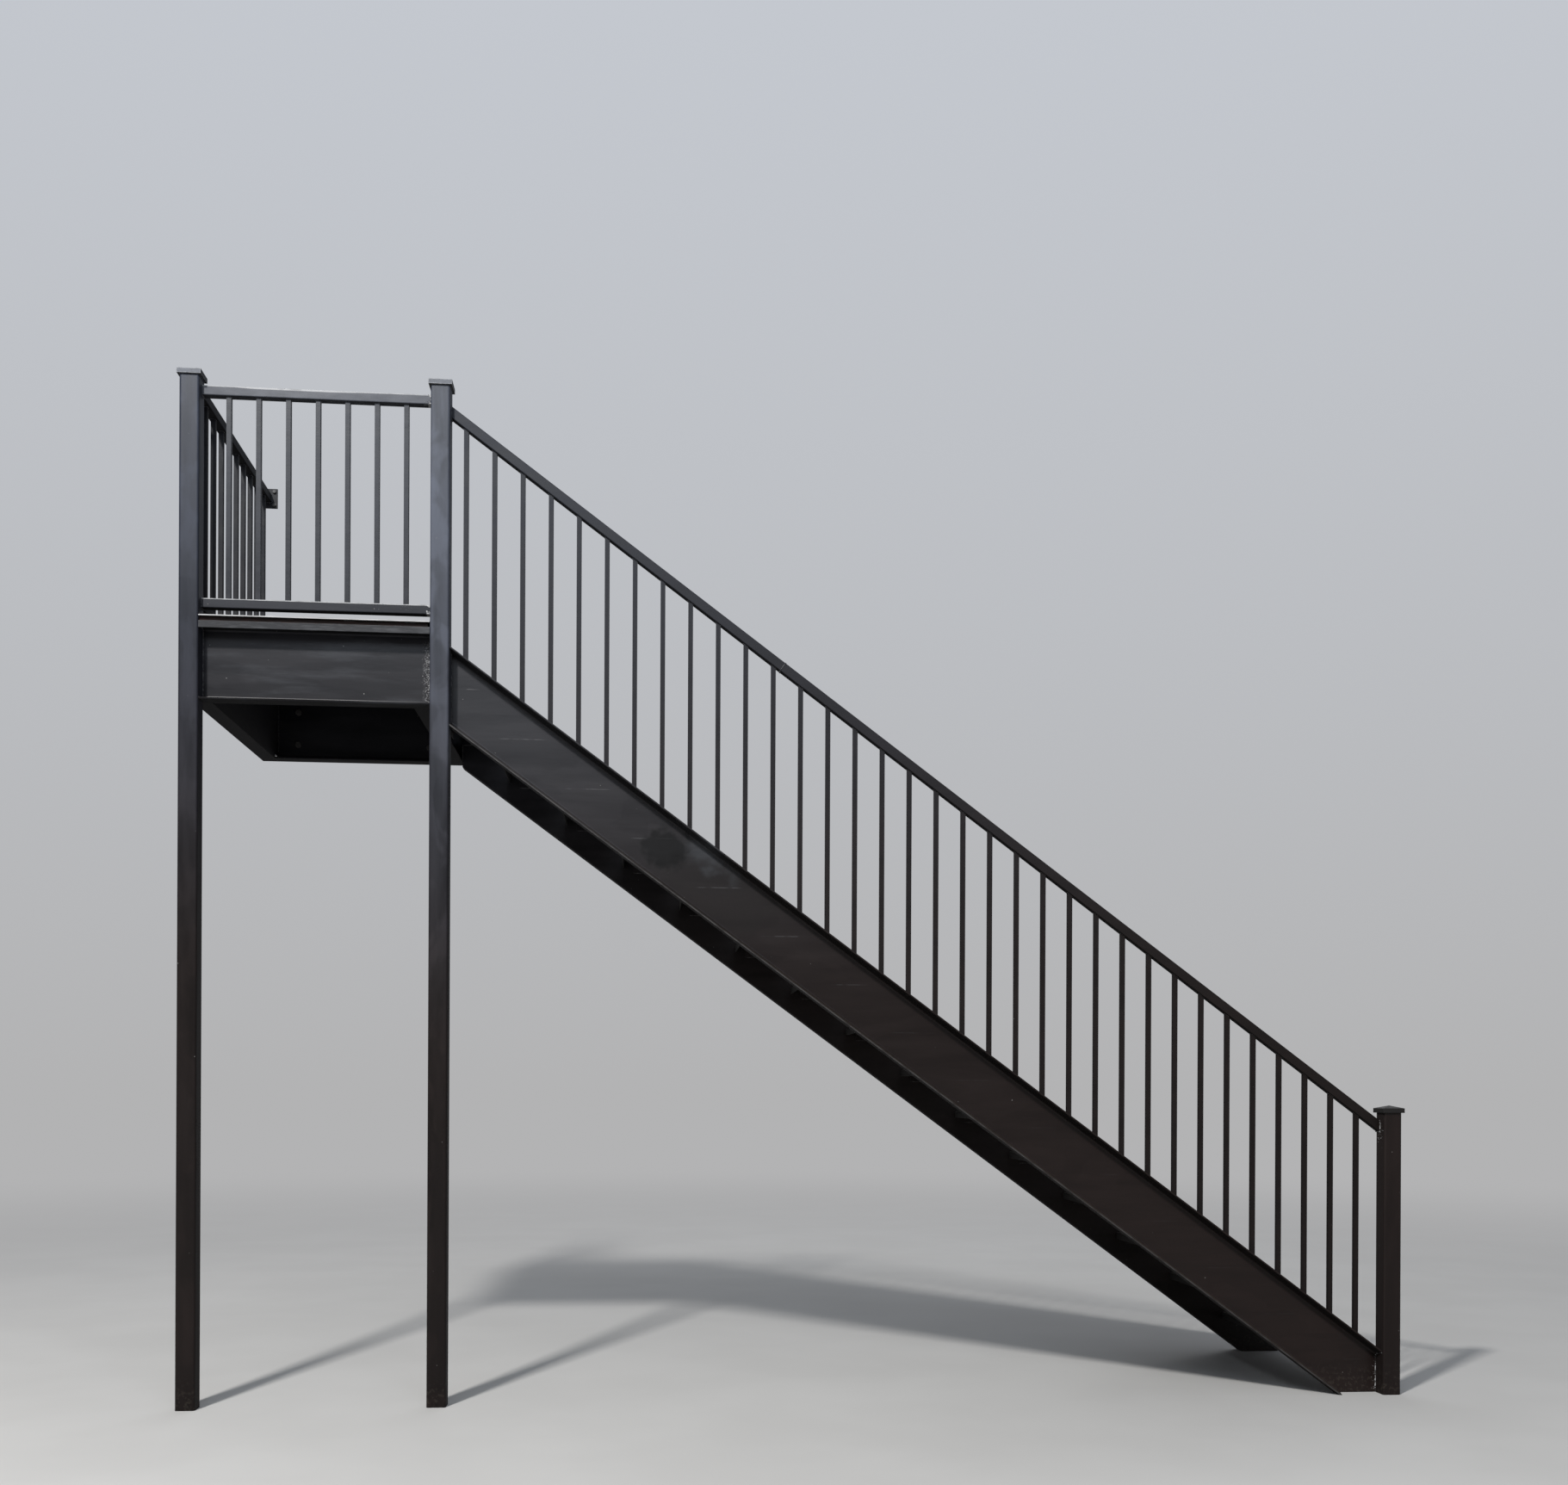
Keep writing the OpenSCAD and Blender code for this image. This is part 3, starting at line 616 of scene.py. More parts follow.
# Mesh helpers
class Shape:
    """Collects the vertices and faces of one piece."""

    def __init__(self):
        self.verts = []
        self.faces = []

    def add(self, verts, faces):
        base = len(self.verts)
        self.verts.extend(tuple(v) for v in verts)
        self.faces.extend(tuple(base + i for i in face) for face in faces)

    def tube(self, rings, closed=False):
        """Joins rings of vertices one to the next, and covers the ends of an open tube."""
        count, sides = len(rings), len(rings[0])
        faces = []
        for k in range(count if closed else count - 1):
            a, b = k * sides, (k + 1) % count * sides
            for j in range(sides):
                j2 = (j + 1) % sides
                faces.append((a + j, b + j, b + j2, a + j2))
        if not closed:
            faces.append(tuple(range(sides)))
            faces.append(tuple(reversed(range((count - 1) * sides, count * sides))))
        self.add([vert for ring in rings for vert in ring], faces)

    def piece(self, name, material, smooth=True):
        mesh = bpy.data.meshes.new(name)
        mesh.from_pydata(self.verts, [], self.faces)
        mesh.materials.append(material)
        work = bmesh.new()
        work.from_mesh(mesh)
        bmesh.ops.recalc_face_normals(work, faces=work.faces)
        work.to_mesh(mesh)
        work.free()
        mesh.polygons.foreach_set("use_smooth", [smooth] * len(mesh.polygons))
        mesh.update()
        made = bpy.data.objects.new(name, mesh)
        bpy.context.collection.objects.link(made)
        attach(made, "root")


def walk(points, outs, step, closed):
    """Evenly spaced places along a path, each with its outward direction."""
    count = len(points)
    ends = range(count if closed else count - 1)
    legs = [(points[i], points[(i + 1) % count], outs[i], outs[(i + 1) % count]) for i in ends]
    lengths = [(b - a).length for a, b, _, _ in legs]
    total = sum(lengths)
    parts = max(4, round(total / step))
    leg, done, places = 0, 0.0, []
    for k in range(parts if closed else parts + 1):
        s = total * k / parts
        while leg < len(legs) - 1 and s > done + lengths[leg]:
            done += lengths[leg]
            leg += 1
        f = min(1.0, (s - done) / max(lengths[leg], 1e-9))
        a, b, out_a, out_b = legs[leg]
        places.append((a.lerp(b, f), out_a.lerp(out_b, f).normalized()))
    return places


# A bead's ripple and how it turns from ring to ring, its height against its width, and how its ends grow
RIPPLE, RIPPLE_TURN = 0.12, 2.6
BEAD_HEIGHT = 0.72
BEAD_TIP, BEAD_GROWTH = 0.35, 0.3


def bead(shape, points, outs, radius, closed=False, step=0.0018, sides=6, uneven=0.14):
    """A weld bead: a low rippled ridge along a path, half sunk in the metal."""
    places = walk([Vector(p) for p in points], [Vector(o).normalized() for o in outs], step, closed)
    count = len(places)
    phase = rng.uniform(0, 6)
    rings = []
    for k, (place, out) in enumerate(places):
        before = places[k - 1][0] if k > 0 or closed else place
        after = places[(k + 1) % count][0] if k < count - 1 or closed else place
        side = (after - before).normalized().cross(out).normalized()
        r = radius * (1 + RIPPLE * math.sin(phase + RIPPLE_TURN * k) + uneven * rng.uniform(-0.5, 0.5))
        if not closed:
            r *= min(1.0, BEAD_TIP + BEAD_GROWTH * min(k, count - 1 - k))
        ring = []
        for j in range(sides):
            a = 2 * math.pi * j / sides
            ring.append(place + out * (BEAD_HEIGHT * r * math.cos(a)) + side * (r * math.sin(a)))
        rings.append(ring)
    shape.tube(rings, closed)


def collar(centre, u, v, face, half_u, half_v, corner):
    """Path round a square tube where it meets a face, with outward directions."""
    points, outs = [], []
    for sign_u, sign_v, start in ((1, 1, 0), (-1, 1, 90), (-1, -1, 180), (1, -1, 270)):
        for k in range(4):
            a = math.radians(start + 30 * k)
            at_u = sign_u * (half_u - corner) + corner * math.cos(a)
            at_v = sign_v * (half_v - corner) + corner * math.sin(a)
            points.append(Vector(centre) + u * at_u + v * at_v)
            outs.append(u * math.cos(a) + v * math.sin(a) + face)
    return points, outs


# A drop's rings, as reach and height in radii, and the range of its width and its length
DROP_RINGS, DROP_SIDES = ((1.0, -0.2), (0.82, 0.35), (0.42, 0.66)), 6
DROP_STRETCH = (0.8, 1.3)


def drop(shape, place, out, radius):
    """A drop of spatter, flattened against the surface it landed on."""
    turn = Vector(out).to_track_quat("Z", "Y").to_matrix()
    wide = radius * rng.uniform(*DROP_STRETCH)
    long = radius * rng.uniform(*DROP_STRETCH)
    rings = []
    for k, (reach, height) in enumerate(DROP_RINGS):
        ring = []
        for j in range(DROP_SIDES):
            a = math.pi * (2 * j + k) / DROP_SIDES
            local = Vector((wide * reach * math.cos(a), long * reach * math.sin(a), radius * height))
            ring.append(Vector(place) + turn @ local)
        rings.append(ring)
    shape.tube(rings)


def turned(shape, base, axis, profile, sides):
    """A solid turned about an axis. profile lists radius and height from the base to the tip."""
    turn = axis.to_track_quat("Z", "Y").to_matrix()
    rings = []
    for radius, height in profile:
        ring = []
        for j in range(sides):
            a = 2 * math.pi * j / sides
            ring.append(Vector(base) + turn @ Vector((radius * math.cos(a), radius * math.sin(a), height)))
        rings.append(ring)
    shape.tube(rings)


# Welds of the guards: radii of the beads, and where the flight's rail is spliced
RAIL_BEAD, BARE_RAIL_BEAD, FLIGHT_RAIL_BEAD, SPLICE_BEAD = 0.0030, 0.0036, 0.0034, 0.0026
BAR_TOP_BEAD, FLIGHT_BAR_TOP_BEAD, BAR_FOOT_BEAD = 0.0020, 0.0036, 0.0024
SPLICE_X = 2.33


def rail_end(shape, centre, u, face, radius, uneven=0.14):
    """Bead round the end of a landing rail. u is the level direction across the rail."""
    ring = collar(centre, u, Z, face, RAIL / 2, RAIL / 2, RAIL_CORNER)
    bead(shape, *ring, radius, closed=True, uneven=uneven)


def landing_guard_welds(painted, bare):
    for z in (TOP_RAIL_Z + RAIL / 2, LOW_RAIL_Z + RAIL / 2):
        rail_end(painted, (POST_HALF, RAIL_Y, z), Y, X, RAIL_BEAD)
        rail_end(bare, (EDGE_X, RAIL_Y, z), Y, -X, BARE_RAIL_BEAD, uneven=0.5)
        rail_end(painted, (RAIL_Y, POST_HALF, z), X, Y, RAIL_BEAD)
        rail_end(painted, (RAIL_Y, PLATE_Y, z), X, -Y, RAIL_BEAD)
    bars = [(x, RAIL_Y) for x in FRONT_BARS] + [(RAIL_Y, y) for y in SIDE_BARS]
    for x, y in bars:
        for z, face, radius in ((TOP_RAIL_Z, -Z, BAR_TOP_BEAD), (LOW_RAIL_Z + RAIL, Z, BAR_FOOT_BEAD)):
            ring = collar((x, y, z), X, Y, face, BAR / 2, BAR / 2, BAR_CORNER)
            bead(painted, *ring, radius, closed=True, step=0.002, sides=5, uneven=0.4)


def flight_guard_welds(painted, bare):
    for x, face, shape in ((FLIGHT_X0, X, painted), (NEWEL_X, -X, bare)):
        centre = (x, RAIL_Y, rail_top(x) - RAIL_PLUMB_HALF)
        ring = collar(centre, Y, Z, face, RAIL / 2, RAIL_PLUMB_HALF, RAIL_CORNER)
        bead(shape, *ring, FLIGHT_RAIL_BEAD, closed=True, uneven=0.4)
    bar_half = BAR / 2 / math.cos(ANGLE)
    for x in FLIGHT_BARS:
        under = rail_top(x) - 2 * RAIL_PLUMB_HALF
        for z, face, radius in ((under, -Z, FLIGHT_BAR_TOP_BEAD), (stringer_top(x), Z, BAR_FOOT_BEAD)):
            ring = collar((x, RAIL_Y, z), DOWN_FLIGHT, Y, face, bar_half, BAR / 2, BAR_CORNER)
            bead(painted, *ring, radius, closed=True, step=0.0021, sides=5, uneven=0.45)
    centre = (SPLICE_X, RAIL_Y, rail_top(SPLICE_X) - RAIL_PLUMB_HALF)
    ring = collar(centre, Y, OFF_FLIGHT, Vector(), RAIL / 2, RAIL / 2, RAIL_CORNER)
    bead(painted, *ring, SPLICE_BEAD, closed=True, step=0.0024, uneven=0.6)


# Welds of the landing and the stringers

# A bead inside a channel turns at stops, measured from the web's back. Roots keep it off the flanges.
LANDING_STOPS, LANDING_ROOT = (0.068, 0.045, 0.020), 0.009
STRINGER_STOPS, STRINGER_ROOT_TOP, STRINGER_ROOT_FOOT = (0.064, 0.042, 0.018), 0.011, 0.010
END_CLEAR, POST_CLEAR, TOE_CLEAR, FLANGE_CLEAR, BETWEEN_FLANGES = 0.004, 0.006, 0.02, 0.03, 0.04
THIN_BEAD, HEAD_BEAD, THICK_BEAD, CLEAT_BEAD = 0.0030, 0.0040, 0.0045, 0.0032


def flange_lift(from_back, width, web, flange):
    """Thickness of a tapered flange at a distance from the back of the web."""
    return flange + ((width + web) / 2 - from_back) * FLANGE_TAPER


def channel_end(shape, x, face, radius):
    """Bead round the inside of the landing's front channel where it meets a post."""
    stops = LANDING_STOPS
    lift = {s: flange_lift(s, CHANNEL_WIDTH, LANDING_WEB, LANDING_FLANGE) for s in stops}
    web_y = NEAR_Y - LANDING_WEB
    lowest = CHANNEL_FOOT + lift[stops[-1]] + LANDING_ROOT
    highest = CHANNEL_TOP - lift[stops[-1]] - LANDING_ROOT
    points = [(x, NEAR_Y - s, CHANNEL_FOOT + lift[s]) for s in stops]
    points += [(x, web_y, lowest), (x, web_y, highest)]
    points += [(x, NEAR_Y - s, CHANNEL_TOP - lift[s]) for s in reversed(stops)]
    outs = [face + Z] * 3 + [face - Y] * 2 + [face - Z] * 3
    bead(shape, points, outs, radius, uneven=0.45)


def stringer_end(shape, x, face, radius):
    """Bead round the inside of the near stringer where it meets a post, down to the ground."""
    stops = STRINGER_STOPS
    steep = 1 / math.cos(ANGLE)
    lift = {s: flange_lift(s, STRINGER_WIDTH, STRINGER_WEB, STRINGER_FLANGE) * steep for s in stops}
    web_y = NEAR_Y - STRINGER_WEB
    top = stringer_top(x)
    foot = top - STRINGER_DEPTH * steep
    highest = top - lift[stops[-1]] - STRINGER_ROOT_TOP
    lowest = max(END_CLEAR, foot + lift[stops[-1]] + STRINGER_ROOT_FOOT)
    points = [(x, NEAR_Y - s, top - lift[s]) for s in stops]
    points += [(x, web_y, highest), (x, web_y, lowest)]
    outs = [face - Z] * 3 + [face - Y] * 2
    if foot > 0:
        points += [(x, NEAR_Y - s, foot + lift[s]) for s in reversed(stops)]
        outs += [face + Z] * 3
    bead(shape, points, outs, radius, uneven=0.45)


def upright(shape, x, y, out, foot, top, radius):
    """A plumb bead."""
    bead(shape, [(x, y, foot), (x, y, top)], [out, out], radius, step=0.0022, uneven=0.4)


def landing_welds(shape):
    """Where the landing's channels, posts and joists meet."""
    foot, top = CHANNEL_FOOT + BETWEEN_FLANGES, CHANNEL_TOP - BETWEEN_FLANGES
    back_y = WALL_Y - LANDING_WEB
    for y, turn in ((NEAR_Y, Y), (back_y, -Y)):
        upright(shape, SIDE_X, y, X + turn, foot, top, THICK_BEAD)
        upright(shape, STAIR_WEB_X, y, turn - X, foot, top, THICK_BEAD)
    for x, out in ((POST_HALF, X + Y), (EDGE_X, Y - X)):
        upright(shape, x, NEAR_Y, out, CHANNEL_FOOT + END_CLEAR, CHANNEL_TOP - END_CLEAR, THIN_BEAD)
    joist_foot, joist_top = low("deck_joists").z + END_CLEAR, CHANNEL_TOP - END_CLEAR
    for k in range(1, JOISTS + 1):
        y = NEAR_Y + (WALL_Y - NEAR_Y) * k / (JOISTS + 1)
        upright(shape, SIDE_X, y, X - Y, joist_foot, joist_top, THIN_BEAD)
        upright(shape, STAIR_WEB_X, y, -X - Y, joist_foot, joist_top, THIN_BEAD)


def far_stringer_welds(shape):
    """The far stringer's plumb cut against the toes of the channel under the top riser."""
    foot = max(CHANNEL_FOOT, stringer_top(EDGE_X) - STRINGER_DEPTH / math.cos(ANGLE))
    inner_y = FAR_Y + STRINGER_WEB
    upright(shape, EDGE_X, FAR_Y, X - Y, foot + END_CLEAR, CHANNEL_TOP - TOE_CLEAR, HEAD_BEAD)
    upright(shape, EDGE_X, inner_y, X + Y, foot + TOE_CLEAR, CHANNEL_TOP - FLANGE_CLEAR, HEAD_BEAD)


def frame_welds(painted, bare):
    channel_end(painted, POST_HALF, X, 0.0042)
    channel_end(bare, EDGE_X, -X, 0.0046)
    stringer_end(painted, FLIGHT_X0, X, 0.0042)
    stringer_end(bare, NEWEL_X, -X, 0.0038)
    landing_welds(painted)
    far_stringer_welds(painted)


def cleat_welds(shape):
    """Bead under each tread cleat, on the stringer's web."""
    for tread in TREADS:
        z = high(tread).z - TREAD_T - CLEAT_LEG
        end = high(tread).x - CLEAT_BACK - END_CLEAR
        start = end - CLEAT_LENGTH + 2 * END_CLEAR
        for y, turn, first in ((NEAR_Y, Y, FLIGHT_X0 + POST_CLEAR), (FAR_Y, -Y, start)):
            ends = [(max(start, first), y, z), (end, y, z)]
            bead(shape, ends, [turn - Z] * 2, CLEAT_BEAD, step=0.0032, sides=5, uneven=0.4)


# Short welds of the deck: their length and number, where the first one is, and their pitch
STITCH, STITCH_COUNT = 0.045, 4
FRONT_STITCH_X, FRONT_STITCH_PITCH = 0.12, 0.235
SIDE_STITCH_Y, SIDE_STITCH_PITCH = 0.16, 0.24
STITCH_BEAD, EDGE_BAR_BEAD = 0.0026, 0.0030


def deck_stitches(shape):
    """Short welds along the deck plate's edges and along the edge bar on the front channel's toe."""
    packing_low, packing_high = low("deck_packing"), high("deck_packing")
    toe_y = low("landing_front_channel").y
    for k in range(STITCH_COUNT):
        x = FRONT_STITCH_X + FRONT_STITCH_PITCH * k
        ends = [(x, packing_low.y, DECK_UNDER), (x + STITCH, packing_low.y, DECK_UNDER)]
        bead(shape, ends, [-Y - Z] * 2, STITCH_BEAD)
        ends = [(x - STITCH, toe_y, CHANNEL_TOP), (x, toe_y, CHANNEL_TOP)]
        bead(shape, ends, [Z] * 2, EDGE_BAR_BEAD)
        y = SIDE_STITCH_Y + SIDE_STITCH_PITCH * k
        for side_x, out in ((packing_low.x, -X), (packing_high.x, X)):
            ends = [(side_x, y, DECK_UNDER), (side_x, y + STITCH, DECK_UNDER)]
            bead(shape, ends, [out - Z] * 2, STITCH_BEAD)


# Spatter from the welding: how far it spreads from the stair post or the newel
WEB_SPREAD, RAIL_SPREAD, FOOT_SPREAD = 0.014, 0.012, 0.008
NEWEL_JOINT_Z = rail_top(NEWEL_X) - RAIL_PLUMB_HALF


def on_landing_web():
    x = EDGE_X - 0.003 - abs(rng.gauss(0, WEB_SPREAD))
    return x, NEAR_Y - LANDING_WEB, rng.uniform(CHANNEL_FOOT + 0.03, CHANNEL_TOP - 0.04)


def on_landing_rail(middle):
    x = EDGE_X - 0.004 - abs(rng.gauss(0, RAIL_SPREAD))
    return x, RAIL_FRONT, middle + rng.choice((-1, 1)) * rng.uniform(0.20, 0.47) * RAIL


def below_bar(x):
    return x + rng.uniform(-0.03, 0.03), RAIL_FRONT, LOW_RAIL_Z + RAIL * rng.uniform(0.3, 0.95)


def on_newel():
    return NEWEL_X, rng.uniform(-0.75, 0.75) * POST_HALF, NEWEL_JOINT_Z + rng.gauss(-0.03, 0.035)


def on_stringer_foot():
    return NEWEL_X - abs(rng.gauss(0, FOOT_SPREAD)), NEAR_Y - STRINGER_WEB, rng.uniform(0.01, 0.15)


def scatter(shape, count, sizes, out, place, *where):
    """Drops of random sizes on a surface that faces out. place is the function that draws each place."""
    for _ in range(count):
        drop(shape, place(*where), out, rng.uniform(*sizes))


def spatter(shape):
    scatter(shape, 170, (0.0006, 0.0019), -Y, on_landing_web)
    for middle, count in ((TOP_RAIL_Z + RAIL / 2, 26), (LOW_RAIL_Z + RAIL / 2, 14)):
        scatter(shape, count, (0.0006, 0.0016), -Y, on_landing_rail, middle)
    for x in FRONT_BARS[-2:]:
        scatter(shape, 12, (0.0007, 0.0015), -Y, below_bar, x)
    scatter(shape, 46, (0.0006, 0.0016), -X, on_newel)
    for above, size in ((0.4 * RAIL_PLUMB_HALF, 0.0048), (-0.7 * RAIL_PLUMB_HALF, 0.0042)):
        drop(shape, (NEWEL_X, RAIL_FRONT - 0.004, NEWEL_JOINT_Z + above), -X, size)
    scatter(shape, 30, (0.0008, 0.0018), -Y, on_stringer_foot)


# Bolts that hold the treads to their cleats. Profiles list radius and height.
HEAD = [(0.0085, 0.0), (0.0085, 0.0006), (0.0076, 0.0021), (0.0056, 0.0034), (0.0028, 0.0042)]
WASHER = [(0.0085, 0.0), (0.0085, 0.0016)]
NUT = [(0.0066, 0.0016), (0.0073, 0.0022), (0.0073, 0.0078), (0.0066, 0.0084)]
BOLT_END = [(0.0040, 0.0084), (0.0040, 0.0120), (0.0033, 0.0128)]
ROUND, HEXAGON, THREAD = 14, 6, 8
BOLT_INSET = 0.028
BOLT_SHARES = (0.2, 0.8)


def bolt_places(tread):
    """Where a tread's four bolts are, as shares of the way along its near and its far cleat."""
    end = high(tread).x - CLEAT_BACK
    far_start = end - CLEAT_LENGTH
    near_start = max(far_start, FLIGHT_X0)
    places = []
    for y, start in ((NEAR_Y + BOLT_INSET, near_start), (FAR_Y - BOLT_INSET, far_start)):
        places += [(start + share * (end - start), y) for share in BOLT_SHARES]
    return places


def tread_bolt_heads(shape):
    for tread in TREADS:
        for x, y in bolt_places(tread):
            turned(shape, (x, y, high(tread).z), Z, HEAD, ROUND)


def tread_nuts(shape):
    for tread in TREADS:
        under = high(tread).z - TREAD_T - CLEAT_T
        for x, y in bolt_places(tread):
            for profile, sides in ((WASHER, ROUND), (NUT, HEXAGON), (BOLT_END, THREAD)):
                turned(shape, (x, y, under), -Z, profile, sides)


# Bolts that hold the landing and the side guard to the wall. Profiles are in radii of the bolt.
WALL_BOLT, WALL_BOLT_X, WALL_BOLT_Z = 0.008, 0.600, 0.150
PLATE_BOLT, PLATE_BOLT_PITCH = 0.005, 0.062
WALL_WASHER = [(1.85, 0.0), (1.85, 0.3), (1.78, 0.36)]
WALL_HEAD = [(1.62, 0.36), (1.72, 0.44), (1.72, 1.45), (1.45, 1.6)]
SHANK_SHARE, SHANK_SHORT = 0.96, 0.0005


def wall_bolt(shape, x, y, z, r):
    """Washer, hexagon head and the end of the shank in its hole. r is the bolt's radius."""
    shank = [(SHANK_SHARE * r, 0.0), (SHANK_SHARE * r, WALL_Y - y - SHANK_SHORT)]
    turned(shape, (x, y, z), -Y, [(reach * r, rise * r) for reach, rise in WALL_WASHER], 24)
    turned(shape, (x, y, z), -Y, [(reach * r, rise * r) for reach, rise in WALL_HEAD], HEXAGON)
    turned(shape, (x, y, z), Y, shank, 16)


def wall_bolts(shape):
    middle_x = (low("landing_wall_channel").x + high("landing_wall_channel").x) / 2
    middle_z = (CHANNEL_TOP + CHANNEL_FOOT) / 2
    rails = [(RAIL_Y, TOP_RAIL_Z + RAIL / 2), (RAIL_Y, LOW_RAIL_Z + RAIL / 2)]
    for a in (-0.5, 0.5):
        for b in (-0.5, 0.5):
            x, z = middle_x + a * WALL_BOLT_X, middle_z + b * WALL_BOLT_Z
            wall_bolt(shape, x, WALL_Y - LANDING_WEB, z, WALL_BOLT)
            for rail_x, rail_z in rails:
                x, z = rail_x + a * PLATE_BOLT_PITCH, rail_z + b * PLATE_BOLT_PITCH
                wall_bolt(shape, x, PLATE_Y, z, PLATE_BOLT)


# Raised lugs of the tread plate. The rim and the crown are shares of the half length and the width.
LUG_HALF, LUG_WIDE, LUG_RISE, LUG_SINK, LUG_PITCH = 0.0130, 0.0034, 0.0014, 0.0003, 0.0254
LUG_RIM = [(-1, 0), (-0.52, 0.8), (0, 1), (0.52, 0.8), (1, 0), (0.52, -0.8), (0, -1), (-0.52, -0.8)]
LUG_CROWN = [(-0.7, 0), (0, 0.42), (0.7, 0), (0, -0.42)]
LUG_FACES = [
    (0, 8, 1), (1, 8, 9), (1, 9, 2), (2, 9, 3), (3, 9, 10), (3, 10, 4),
    (4, 10, 5), (5, 10, 11), (5, 11, 6), (6, 11, 7), (7, 11, 8), (7, 8, 0),
    (8, 10, 9), (8, 11, 10), (0, 1, 2, 3, 4, 5, 6, 7),
]
LUGS_OFF_BOLT = 0.017
LUGS_OFF_SIDE, LUGS_OFF_NOSE, LUGS_OFF_BACK, LUGS_OFF_WALL = 0.004, 0.006, 0.008, 0.006


def lugs(shape, x0, x1, y0, y1, top, bolts=()):
    """Lugs in rows, turned one way and the other, left out round the bolt heads."""
    rows = int((x1 - x0) / LUG_PITCH)
    columns = int((y1 - y0) / LUG_PITCH)
    first_x = (x0 + x1 - (rows - 1) * LUG_PITCH) / 2
    first_y = (y0 + y1 - (columns - 1) * LUG_PITCH) / 2
    slant = math.sqrt(0.5)
    for a in range(rows):
        for b in range(columns):
            x = first_x + a * LUG_PITCH
            y = first_y + b * LUG_PITCH
            if any(max(abs(x - bolt_x), abs(y - bolt_y)) < LUGS_OFF_BOLT for bolt_x, bolt_y in bolts):
                continue
            turn = 1 if (a + b) % 2 else -1
            verts = []
            for outline, height in ((LUG_RIM, -LUG_SINK), (LUG_CROWN, LUG_RISE)):
                for along, across in outline:
                    p = along * LUG_HALF * slant
                    q = across * LUG_WIDE * slant
                    verts.append((x + p - turn * q, y + turn * p + q, top + height))
            shape.add(verts, LUG_FACES)


def tread_lugs(shape):
    y0, y1 = NEAR_Y + LUGS_OFF_SIDE, FAR_Y - LUGS_OFF_SIDE
    for tread in TREADS:
        x0, x1 = low(tread).x + LUGS_OFF_BACK, high(tread).x - LUGS_OFF_NOSE
        lugs(shape, x0, x1, y0, y1, high(tread).z, bolt_places(tread))


def deck_lugs(shape):
    """Lugs behind the front channel's web, and one strip in front of it."""
    x0, x1 = POST_HALF + LUGS_OFF_SIDE, EDGE_X - LUGS_OFF_SIDE
    middle_y = NEAR_Y + LUGS_OFF_SIDE
    lugs(shape, x0, x1, middle_y, WALL_Y - LUGS_OFF_WALL, DECK_TOP)
    lugs(shape, x0, x1, DECK_FRONT_Y + LUGS_OFF_SIDE, middle_y, DECK_TOP)


# The pieces that ride on the frame
bare = Shape()
for maker, piece_name, slot in (
    (landing_guard_welds, "landing_guard_welds", "rail_paint"),
    (flight_guard_welds, "flight_guard_welds", "rail_paint"),
    (frame_welds, "frame_welds", "frame_paint"),
):
    painted = Shape()
    maker(painted, bare)
    painted.piece(piece_name, weld_mat)
bare.piece("bare_welds", bare_weld_mat)
for maker, piece_name, material, slot, smooth in (
    (cleat_welds, "cleat_welds", weld_mat, "frame_paint", True),
    (deck_stitches, "deck_stitches", weld_mat, "frame_paint", True),
    (spatter, "weld_spatter", bare_weld_mat, "frame_paint", True),
    (tread_lugs, "tread_lugs", lug_mat, "tread_paint", False),
    (deck_lugs, "deck_lugs", lug_mat, "tread_paint", False),
    (tread_bolt_heads, "tread_bolt_heads", bolt_mat, "tread_paint", True),
    (tread_nuts, "tread_nuts", bolt_mat, "tread_paint", False),
    (wall_bolts, "wall_bolts", bolt_mat, "frame_paint", False),
):
    shape = Shape()
    maker(shape)
    shape.piece(piece_name, material, smooth)

# Floor, world and lamps
HORIZON = (0.45, 0.45, 0.455)
ZENITH = (0.61, 0.65, 0.72)
ZENITH_RISE = 0.9
ROOM_LIGHT = 0.25
FLOOR_TONES = ((0.66, 0.65, 0.635), (0.69, 0.68, 0.665))
FLOOR_BOUNCE = (0.26, 0.25, 0.225)
FLOOR_REACH = 80.0
FLOOR_MIDDLE = (2.4, 0.5)
FLOOR_DROP = 0.0005

# The floor brightens by a factor between two distances, and turns into the horizon between two powers of two
FAR_LIFT, LIFT_REACH, BLEND_POWERS = 1.22, (1.5, 6.0), (1.8, 4.2)


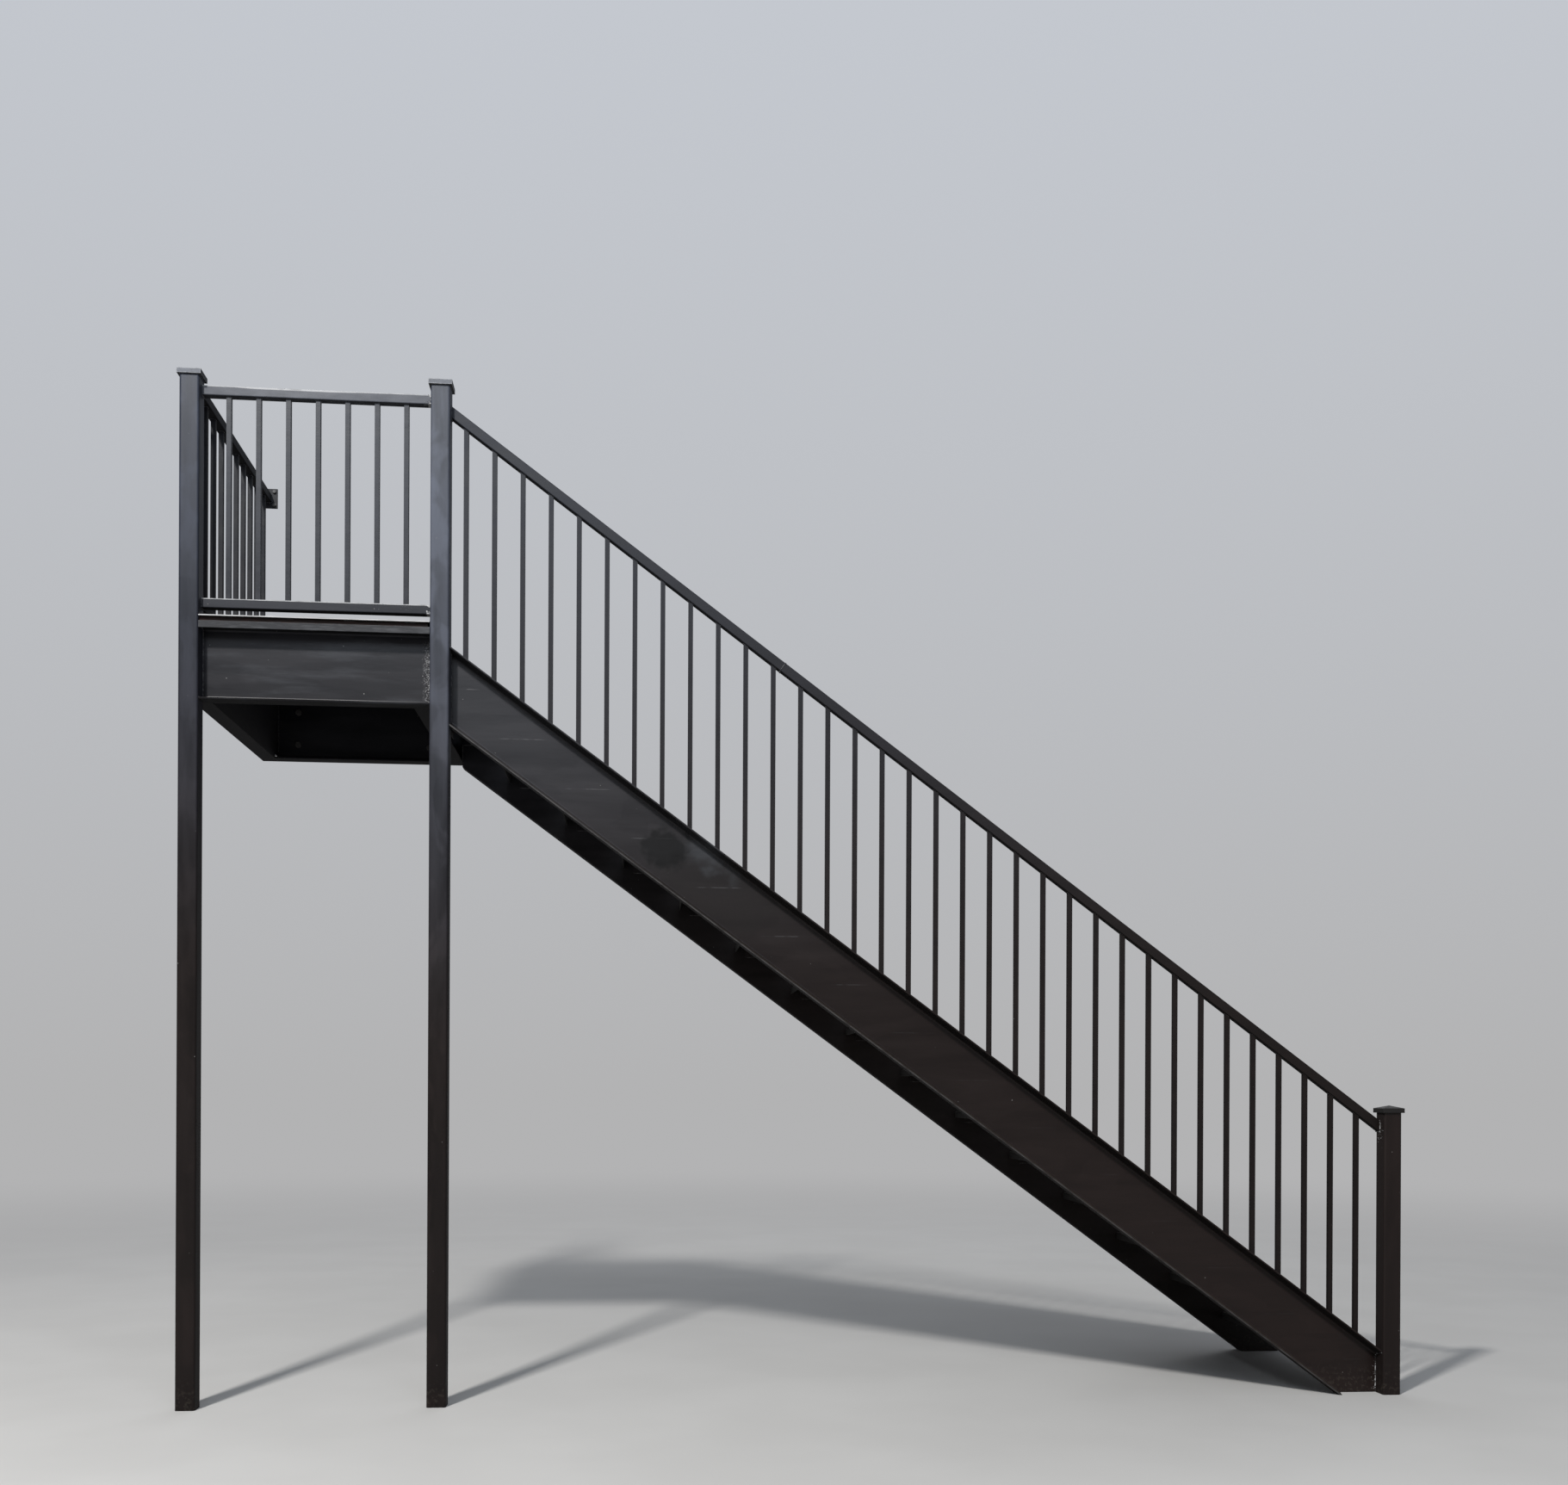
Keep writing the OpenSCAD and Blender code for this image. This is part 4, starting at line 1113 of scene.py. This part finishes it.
def make_floor():
    """A pale floor that fades into the horizon's tone far away."""
    t = Tree(bpy.data.materials.new("floor_pale"))
    patch = t.ramp(t.noise(t.place, 1.3, 3.0), 0.3, 0.7)
    color = t.mix(patch, *FLOOR_TONES)
    far = t.node("ShaderNodeVectorMath", operation="LENGTH")
    t.put(far.inputs[0], t.place)
    color = t.shade(color, t.ramp(far.outputs["Value"], *LIFT_REACH, 1.0, FAR_LIFT))
    color = t.mix(t.shown(), FLOOR_BOUNCE, color)
    t.finish(color, 0.95, t.bump(t.noise(t.place, 160.0), 0.05, 0.001), specular=0.05)
    glow = t.node("ShaderNodeEmission")
    glow.inputs["Color"].default_value = (*HORIZON, 1)
    blend = t.node("ShaderNodeMixShader")
    t.put(blend.inputs[0], t.ramp(t.math("LOGARITHM", far.outputs["Value"], 2.0), *BLEND_POWERS))
    t.put(blend.inputs[1], t.shader.outputs[0])
    t.put(blend.inputs[2], glow.outputs[0])
    t.put(t.out.inputs[0], blend.outputs[0])
    mesh = bpy.data.meshes.new("floor")
    r = FLOOR_REACH
    mesh.from_pydata([(-r, -r, 0), (r, -r, 0), (r, r, 0), (-r, r, 0)], [], [(0, 1, 2, 3)])
    mesh.materials.append(t.mat)
    floor = bpy.data.objects.new("floor", mesh)
    floor.location = (*FLOOR_MIDDLE, -FLOOR_DROP)
    bpy.context.collection.objects.link(floor)


def make_world():
    """A pale studio sky, a little brighter overhead, that lights the object less than it shows."""
    world = bpy.data.worlds.new("studio")
    bpy.context.scene.world = world
    t = Tree(world, "ShaderNodeOutputWorld", "ShaderNodeBackground")
    rise = t.node("ShaderNodeMapRange")
    t.put(rise.inputs[0], t.parts(t.node("ShaderNodeTexCoord").outputs["Generated"])[2])
    rise.inputs[2].default_value = ZENITH_RISE
    t.put(t.shader.inputs["Color"], t.mix(rise.outputs[0], HORIZON, ZENITH))
    strength = t.node("ShaderNodeMapRange")
    t.put(strength.inputs[0], t.shown())
    strength.inputs[3].default_value = ROOM_LIGHT
    t.put(t.shader.inputs["Strength"], strength.outputs[0])


def lamp(name, place, aim, size, watts, color):
    """A rectangular lamp. size is its width and height."""
    light = bpy.data.lights.new(name, "AREA")
    light.shape = "RECTANGLE"
    light.size, light.size_y = size
    light.energy = watts
    light.color = color
    made = bpy.data.objects.new(name, light)
    made.location = place
    made.rotation_euler = (Vector(aim) - Vector(place)).to_track_quat("-Z", "Y").to_euler()
    bpy.context.collection.objects.link(made)


make_floor()
make_world()
lamp("key", (-1.9, -7.2, 9.6), (2.0, 0.3, 1.9), (0.8, 0.8), 1000, (1.0, 0.98, 0.95))
lamp("front_sky", (1.4, -9.0, 7.4), (2.0, 0.3, 3.2), (9.0, 3.4), 280, (0.82, 0.91, 1.0))
lamp("back_sky", (3.0, 9.0, 8.0), (2.2, 0.5, 2.0), (8.0, 4.0), 150, (0.92, 0.96, 1.0))

bpy.context.scene.view_settings.view_transform = "Standard"
